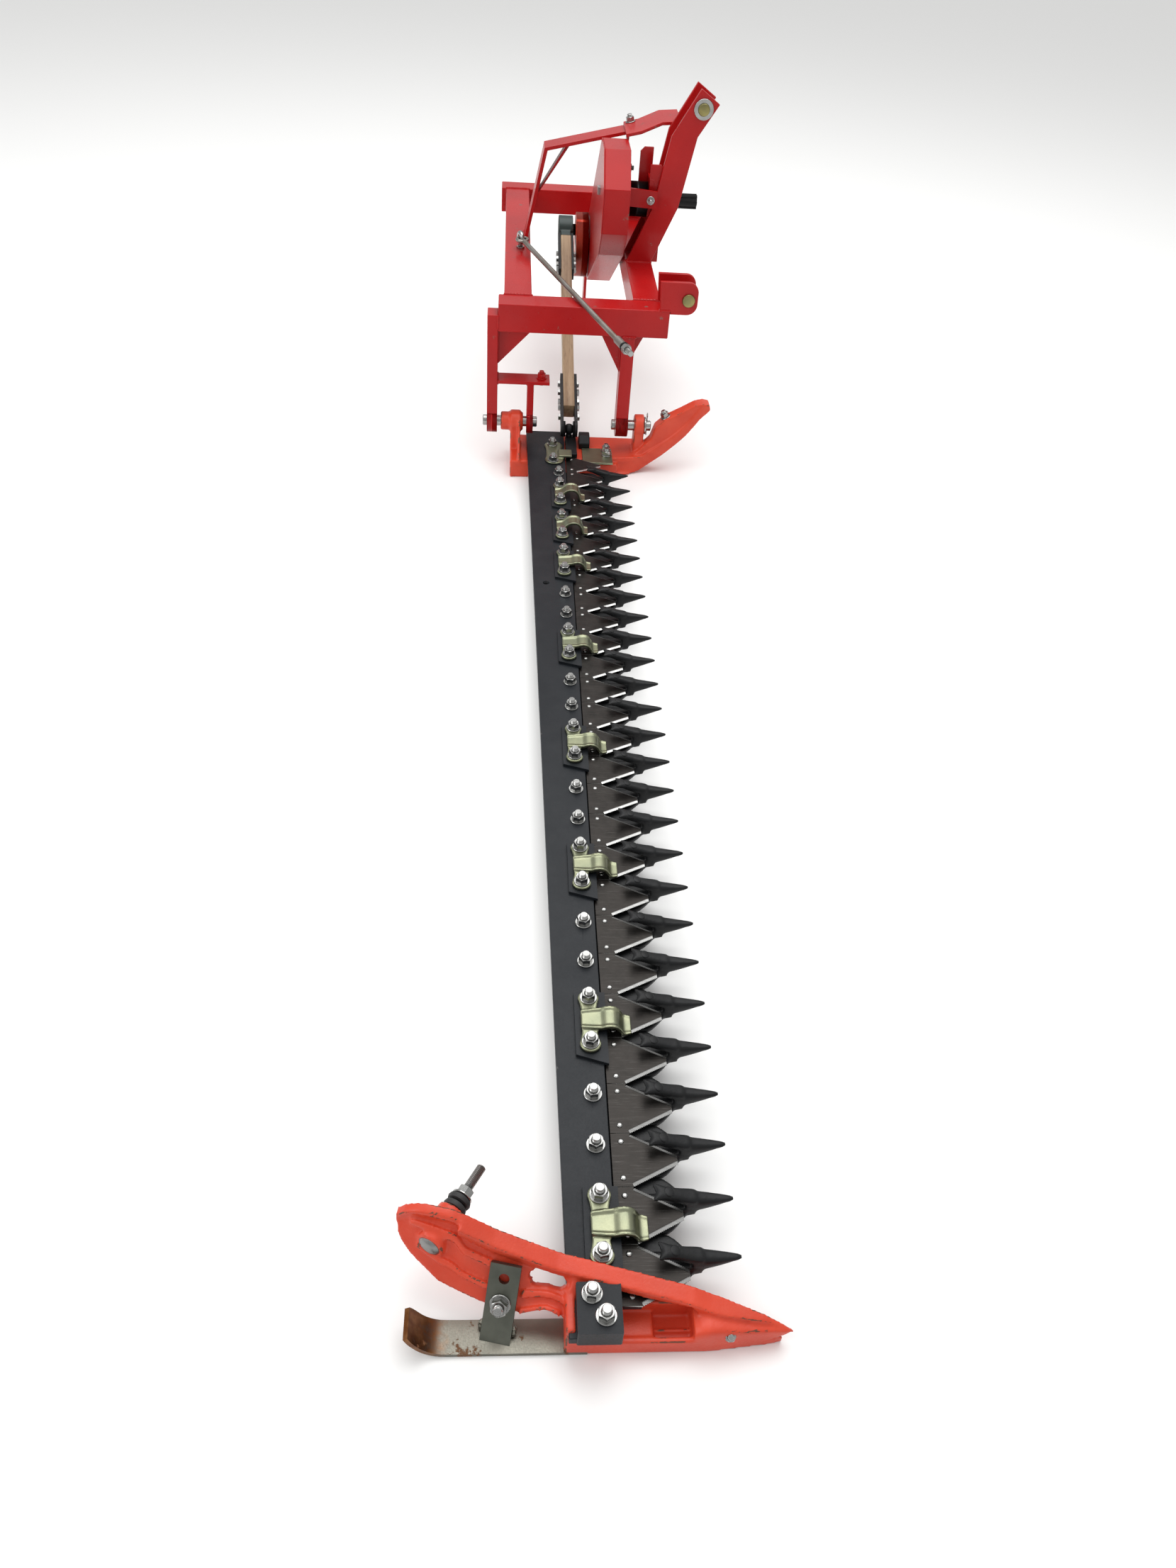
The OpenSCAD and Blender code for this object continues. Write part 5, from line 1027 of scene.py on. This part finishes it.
# Height skid: a strip of bare steel under the heel with an upturned end, and a bracket welded on it that is
# bolted to the web at one of two heights. Brown rust has taken the upturned end.
skid_steel = coated(
    "skid steel", (0.22, 0.21, 0.175), (0.16, 0.155, 0.13), (0.15, 0.07, 0.03), (0.30, 0.46), (0.7, 0.85),
    metal=(1.0, 0.2), patch_size=0.05, speck_size=0.002, relief=0.0001, edge_wear=0.6, scuffs=0.60,
)
tree = skid_steel.node_tree
shader = tree.nodes["Principled BSDF"]
coat = shader.inputs["Base Color"].links[0].from_socket
place = add(tree, "TexCoord").outputs["Object"]
mottle = noise(tree, place, 90.0, 6.0)
rearward = spread(tree, add(tree, "SeparateXYZ", Vector=place).outputs["X"], -0.160, -0.215)
rusted = spread(tree, both(tree, "MULTIPLY", rearward, both(tree, "ADD", mottle, 0.35)), 0.3, 0.7)
rust = mixed(tree, spread(tree, mottle, 0.35, 0.65), (0.13, 0.045, 0.014), (0.22, 0.10, 0.04))
tree.links.new(mixed(tree, rusted, coat, rust), shader.inputs["Base Color"])
skid_path = [(-18, 3), (-120, 3), (-178, 3), (-194, 5), (-208, 14), (-218, 28), (-226, 42)]
skid_section = [(-20, -3), (20, -3), (20, 3), (-20, 3)]
strip, strip_faces = tongue(skid_path, skid_section, [1, 1, 1, 1, 1, 1, 0.9], [1, 1])
bracket_foot = 0.0061
bracket_rear = -0.19
shape = bmesh.new()
shape.from_mesh(frame["nodes"]["skid"].data)
bmesh.ops.remove_doubles(shape, verts=shape.verts, dist=merge_gap)
bmesh.ops.delete(shape, geom=[v for v in shape.verts if v.co.x < bracket_rear], context="VERTS")
bmesh.ops.bisect_plane(
    shape, geom=[*shape.verts, *shape.edges, *shape.faces], dist=1e-6, plane_co=(0, 0, bracket_foot),
    plane_no=(0, 0, 1), clear_inner=True,
)
bmesh.ops.holes_fill(shape, edges=shape.edges)
bracket_mesh = bpy.data.meshes.new("skid_bracket")
shape.to_mesh(bracket_mesh)
shape.free()
bracket_steel = coated(
    "bracket steel", (0.14, 0.145, 0.12), (0.10, 0.105, 0.088), (0.24, 0.22, 0.18), (0.28, 0.42), (0.4, 0.55),
    metal=(0.9, 1.0), patch_size=0.03, speck_size=0.002, relief=0.0001, edge_wear=0.5, scuffs=0.68,
)
shown("skid_bracket", bracket_mesh, bracket_steel, "bar", slot_of["skid"], ("skid",), crease=30)
made("skid_strip", [
    (strip + (0, outer_y + 8, 0), strip_faces), bead(by_rail([101, 139], -68, 7), 4.2, 5),
    *(bead(by_rail(u, [-68, -60], [7, 20]), 3.6, 5) for u in (101, 139)),
], skid_steel, "bar", slot_of["skid"], crease=40)

# Swath board stud: a steel bolt through the heel of the outer shoe with two moulded rubber washers and a
# plated nut. Its free threaded end carries the swath board.
dark_steel = coated(
    "dark steel", (0.27, 0.265, 0.26), (0.20, 0.19, 0.18), (0.36, 0.34, 0.32), (0.32, 0.46), (0.35, 0.5),
    metal=(1.0, 1.0), patch_size=0.02, speck_size=0.001, relief=0.00005, edge_wear=0.5, scuffs=0.72,
)
made("swath_stud_turned", [
    placed(turned([(0, -14), (7, -13.2), (11.5, -11.4), (14, -8.6), (14, -8), (0, -8)]), stud_start, stud_axis),
    placed(turned([(0, -8), (6, -8), (6, 64), (0, 64)]), stud_start, stud_axis),
    placed(threaded(6, 64, 109, 2.2), stud_start, stud_axis),
], dark_steel, "bar", "bright_steel", ("swath_stud",), crease=28)
made("stud_nut", [
    placed(washer(13, 6.2, 2.5), stud_start + 62 * stud_axis, stud_axis),
    placed(hexagon(10.5, 10, 5.6), stud_start + 64.5 * stud_axis, stud_axis, 0.3),
], bright_zinc, "bar", "bright_steel", crease=28)
rubber_ring = turned([(6.1, 0.2), (11, 0.2), (14, 1.8), (15, 4.9), (14, 8), (11, 9.6), (6.1, 9.6)], ring=True)
made("rubber_washers_moulded", [
    placed(rubber_ring, stud_start + at * stud_axis, stud_axis) for at in (42, 52)
], black_rubber, "bar", "belt_rubber", ("rubber_washers",), crease=40)

# Knife back and head: a flat steel bar that slides on the fingers, with a forged head and its ball riveted
# on at the inner end.
dressed("knife_bar", bar_steel, 0.0006)
dressed("knife_head", black_cast, 0.0012)

# Knife sections: 28 blades of hardened steel riveted on the knife back, dark from the rolling on their
# faces, with ground and finely serrated slant edges.
section_low = 49
section_t = 2.5
section_half = 37.9
section_shoulder = 25.0
section_len = 84.0
section_tip = 7.0
bevel_w = 5.2
tooth_count = 26


def section_rings():
    """The blade's outline goes round its back, up one slant, over the tip and down the other. It is drawn as
    a lower ring, an upper ring that lies low on the slants, and an inner ring a bevel's width inside them.
    Every second point of a slant stands out as a tooth."""
    share = np.linspace(0, 1, 2 * tooth_count + 1)
    slant = np.column_stack([
        section_shoulder + (section_len - section_shoulder) * share,
        section_half + (section_tip - section_half) * share,
    ])
    fall = np.array((section_half - section_tip, section_len - section_shoulder))
    out = fall / np.linalg.norm(fall)
    tooth = np.where(np.arange(len(share)) % 2, 0.0, 0.9)[:, None]
    right_edge = slant - (0.9 - tooth) * out
    right_inner = slant - bevel_w * out
    right_inner[0] = (section_shoulder, section_half - 0.4)
    right_inner[-1] = (section_len - 0.6, max(section_tip - bevel_w, 0.6))
    back = np.array([(0.0, -section_half), (0.0, section_half)])
    outer = np.vstack([back, right_edge, right_edge[::-1] * (1, -1)])
    inner = np.vstack([back + [(0.4, 0.4), (0.4, -0.4)], right_inner, right_inner[::-1] * (1, -1)])
    low = np.concatenate([[0, 0], np.full(2 * len(share), 1.0)])
    grooves = 0.35 * np.concatenate([[0, 0], np.tile(np.arange(len(share)) % 2, 2)])
    rim = section_t - low * (section_t - 0.5) + grooves * 0.8
    return np.stack([
        np.column_stack([outer, np.zeros(len(outer))]), np.column_stack([outer, rim]),
        np.column_stack([inner, np.full(len(inner), section_t)]),
    ])


section_shell, section_faces = closed_tube(section_rings())
section_places = np.array([(20, finger_y(i) - 19, section_low) for i in range(-1, finger_count)])
blades = solid("sections_ground", [(section_shell + at, section_faces) for at in section_places])
level = read(blades.vertices, "co", 3)[:, 2] / mm - section_low
ground = blades.attributes.new("ground", "FLOAT", "POINT")
ground.data.foreach_set("value", ((level > 0.05) & (level < 1.6)).astype(np.float32))
blade_steel, tree, shader, place = blank("blade steel")
drawn = add(tree, "Mapping", Vector=place, Rotation=(0, 0, 0.5), Scale=(30, 900, 200)).outputs["Vector"]
streaks = noise(tree, drawn, 1.0, 5.0, Roughness=0.7)
stains = noise(tree, place, 38.0, 6.0, Roughness=0.65)
bevel = spread(tree, add(tree, "Attribute", {"attribute_name": "ground"}).outputs["Fac"], 0.05, 0.35)
face_colour = mixed(tree, spread(tree, stains, 0.35, 0.65), (0.024, 0.022, 0.020), (0.040, 0.036, 0.033))
face_colour = mixed(tree, spread(tree, streaks, 0.56, 0.74), face_colour, (0.085, 0.08, 0.075))
bevel_colour = mixed(tree, spread(tree, streaks, 0.35, 0.65), (0.50, 0.50, 0.49), (0.33, 0.33, 0.32))
tree.links.new(mixed(tree, bevel, face_colour, bevel_colour), shader.inputs["Base Color"])
face_shine = spread(tree, stains, 0.3, 0.7, 0.34, 0.5)
bevel_shine = spread(tree, streaks, 0.3, 0.7, 0.2, 0.34)
tree.links.new(between(tree, bevel, face_shine, bevel_shine), shader.inputs["Roughness"])
shader.inputs["Metallic"].default_value = 0.9
relief = add(tree, "Bump", Strength=0.4, Distance=0.0001, Height=streaks)
tree.links.new(relief.outputs["Normal"], shader.inputs["Normal"])
shown("sections_ground", blades, blade_steel, "knife", "knife_steel", ("sections",), crease=12)

# Rivets: two soft steel rivets with low domed heads, hammered down bright, hold each section on the knife
# back.
rivet_x, rivet_y = 13, 26
dome, dome_faces = turned([(0, 0), (4, 0), (3.8, 0.9), (2.9, 1.6), (1.5, 1.95), (0, 2)], 14)
made("rivets_domed", [
    (dome + at + (rivet_x, side * rivet_y, section_t), dome_faces) for at in section_places for side in (-1, 1)
], bright_zinc, "knife", "bright_steel", ("rivets",))

# Pitman rod: a bar of straight-grained hardwood, sawn square, broken at its edges and oiled. It hangs
# between the crank and the knife head and pushes the knife.
pitman_ball = np.array((30, 64, 80))
crank_pin_at = np.array((30, 779.1, 339.97))
pitman_rise = math.atan2(crank_pin_at[2] - pitman_ball[2], crank_pin_at[1] - pitman_ball[1])
ash_wood, tree, shader, place = blank("ash wood")
levelled = add(tree, "Mapping", Vector=place, Rotation=(-pitman_rise, 0, 0)).outputs["Vector"]
stretched = add(tree, "Mapping", Vector=levelled, Scale=(110, 5, 110)).outputs["Vector"]
grain = noise(tree, stretched, 1.0, 5.0, Distortion=0.6)
pores = noise(tree, stretched, 7.0, 3.0)
tone = mixed(tree, spread(tree, grain, 0.35, 0.65), (0.40, 0.29, 0.17), (0.29, 0.195, 0.105))
pored = mixed(tree, spread(tree, pores, 0.58, 0.72), tone, (0.14, 0.085, 0.045))
tree.links.new(pored, shader.inputs["Base Color"])
tree.links.new(spread(tree, grain, 0.3, 0.7, 0.42, 0.6), shader.inputs["Roughness"])
relief = add(tree, "Bump", Strength=0.5, Distance=0.0003, Height=pores)
tree.links.new(relief.outputs["Normal"], shader.inputs["Normal"])
dressed("pitman_rod", ash_wood, 0.0018, 3)

# Pitman irons: black flat steel straps on both sides of the wood, drawn together by plated bolts, and the
# forged jaws round the ball of the knife head.
for node in ("pitman_straps", "ball_jaws"):
    dressed(node, black_cast, 0.0012)
pitman_ahead = np.array((0, math.cos(pitman_rise), math.sin(pitman_rise)))
pitman_len = np.linalg.norm(crank_pin_at - pitman_ball)
jaw_run, lower_strap, upper_strap, upper_start = 40, 176, 150, pitman_len - 187
lower_runs = [lower_strap * share for share in (0.42, 0.52, 0.72, 0.88)]
upper_runs = [upper_start + upper_strap * share for share in (0.12, 0.26, 0.40, 0.53)]
strap_face = np.array((21, 0, 0))
strap_parts = []
for k, run in enumerate([jaw_run, *lower_runs, *upper_runs]):
    middle = pitman_ball + run * pitman_ahead
    strap_parts += [
        placed(hexagon(8.5, 6, 4.6), middle + strap_face, (1, 0, 0), 0.5 * k),
        placed(threaded(5, 1, 6.6, 1.5), middle + strap_face, (1, 0, 0)),
        placed(hexagon(8.5, 6, 0, lower_cone=False), middle - strap_face, (-1, 0, 0), 0.3 * k),
    ]
made("pitman_bolts_plated", strap_parts, bright_zinc, "pitman", "bright_steel", ("pitman_bolts",), crease=28)

# Bearing housing: a cast iron ring at the crank end of the pitman, in dark green paint, that holds the
# bearing of the crank pin between the straps.
green_paint = coated(
    "green paint", (0.008, 0.022, 0.019), (0.010, 0.028, 0.024), (0.15, 0.14, 0.13), (0.35, 0.5), (0.4, 0.5),
    metal=(0.0, 1.0), patch_size=0.05, speck_size=0.002, relief=0.0003, edge_wear=0.6, scuffs=0.78,
)
recast("big_end", green_paint, 0.0016, 4)

# Studio: a pale plain floor, a white surround that darkens a little towards the horizon, and two broad soft
# lamps over the machine.
floor_half = 12.0
floor_mesh = bpy.data.meshes.new("floor")
floor_mesh.from_pydata(
    [(x * floor_half, y * floor_half, 0) for x, y in ((-1, -1), (1, -1), (1, 1), (-1, 1))], [], [(0, 1, 2, 3)]
)
floor = bpy.data.objects.new("floor", floor_mesh)
bpy.context.scene.collection.objects.link(floor)
pale, _, shader, _ = blank("pale floor")
shader.inputs["Base Color"].default_value = (0.90, 0.90, 0.89, 1)
shader.inputs["Roughness"].default_value = 0.9
floor_mesh.materials.append(pale)

world = bpy.data.worlds.new("studio")
bpy.context.scene.world = world
world.use_nodes = True
tree = world.node_tree
height = add(tree, "SeparateXYZ", Vector=add(tree, "TexCoord").outputs["Generated"]).outputs["Z"]
room = mixed(tree, spread(tree, height, 0.0, 0.75), (0.60, 0.60, 0.60), (1.0, 1.0, 1.0))
tree.links.new(room, tree.nodes["Background"].inputs["Color"])
tree.nodes["Background"].inputs["Strength"].default_value = 0.8


def soft_light(name, place, target, size, power):
    """A square lamp of a size at a place, turned towards a target."""
    lamp = bpy.data.lights.new(name, "AREA")
    lamp.size = size
    lamp.energy = power
    light = bpy.data.objects.new(name, lamp)
    light.location = place
    light.rotation_euler = (Vector(target) - Vector(place)).to_track_quat("-Z", "Y").to_euler()
    bpy.context.scene.collection.objects.link(light)


soft_light("overhead", (0.3, 0.4, 4.0), (0, -0.6, 0), 4.0, 130)
soft_light("window side", (-3.5, -2.2, 2.6), (0, -0.6, 0.2), 2.5, 60)

# Camera: it stands past the outer end of the bar, 1.4 m above the floor, and looks down along the bar to
# the headstock.
photo_h = 2212
focal_px = 1723
film_h = 36.0
camera_eye = Vector((-0.130, -2.824, 1.426))
yaw, pitch, roll = (math.radians(a) for a in (5.51, 41.07, 4.54))
forward = Vector((math.sin(yaw) * math.cos(pitch), math.cos(yaw) * math.cos(pitch), -math.sin(pitch)))
level = Vector((math.cos(yaw), -math.sin(yaw), 0))
upright = level.cross(forward)
right = math.cos(roll) * level + math.sin(roll) * upright
up = math.cos(roll) * upright - math.sin(roll) * level
lens = bpy.data.cameras.new("camera")
lens.sensor_fit = "VERTICAL"
lens.sensor_height = film_h
lens.lens = film_h * focal_px / photo_h
camera = bpy.data.objects.new("camera", lens)
camera.matrix_world = Matrix.Translation(camera_eye) @ Matrix((right, up, -forward)).transposed().to_4x4()
bpy.context.scene.collection.objects.link(camera)
bpy.context.scene.camera = camera
bpy.context.scene.view_settings.view_transform = "Standard"
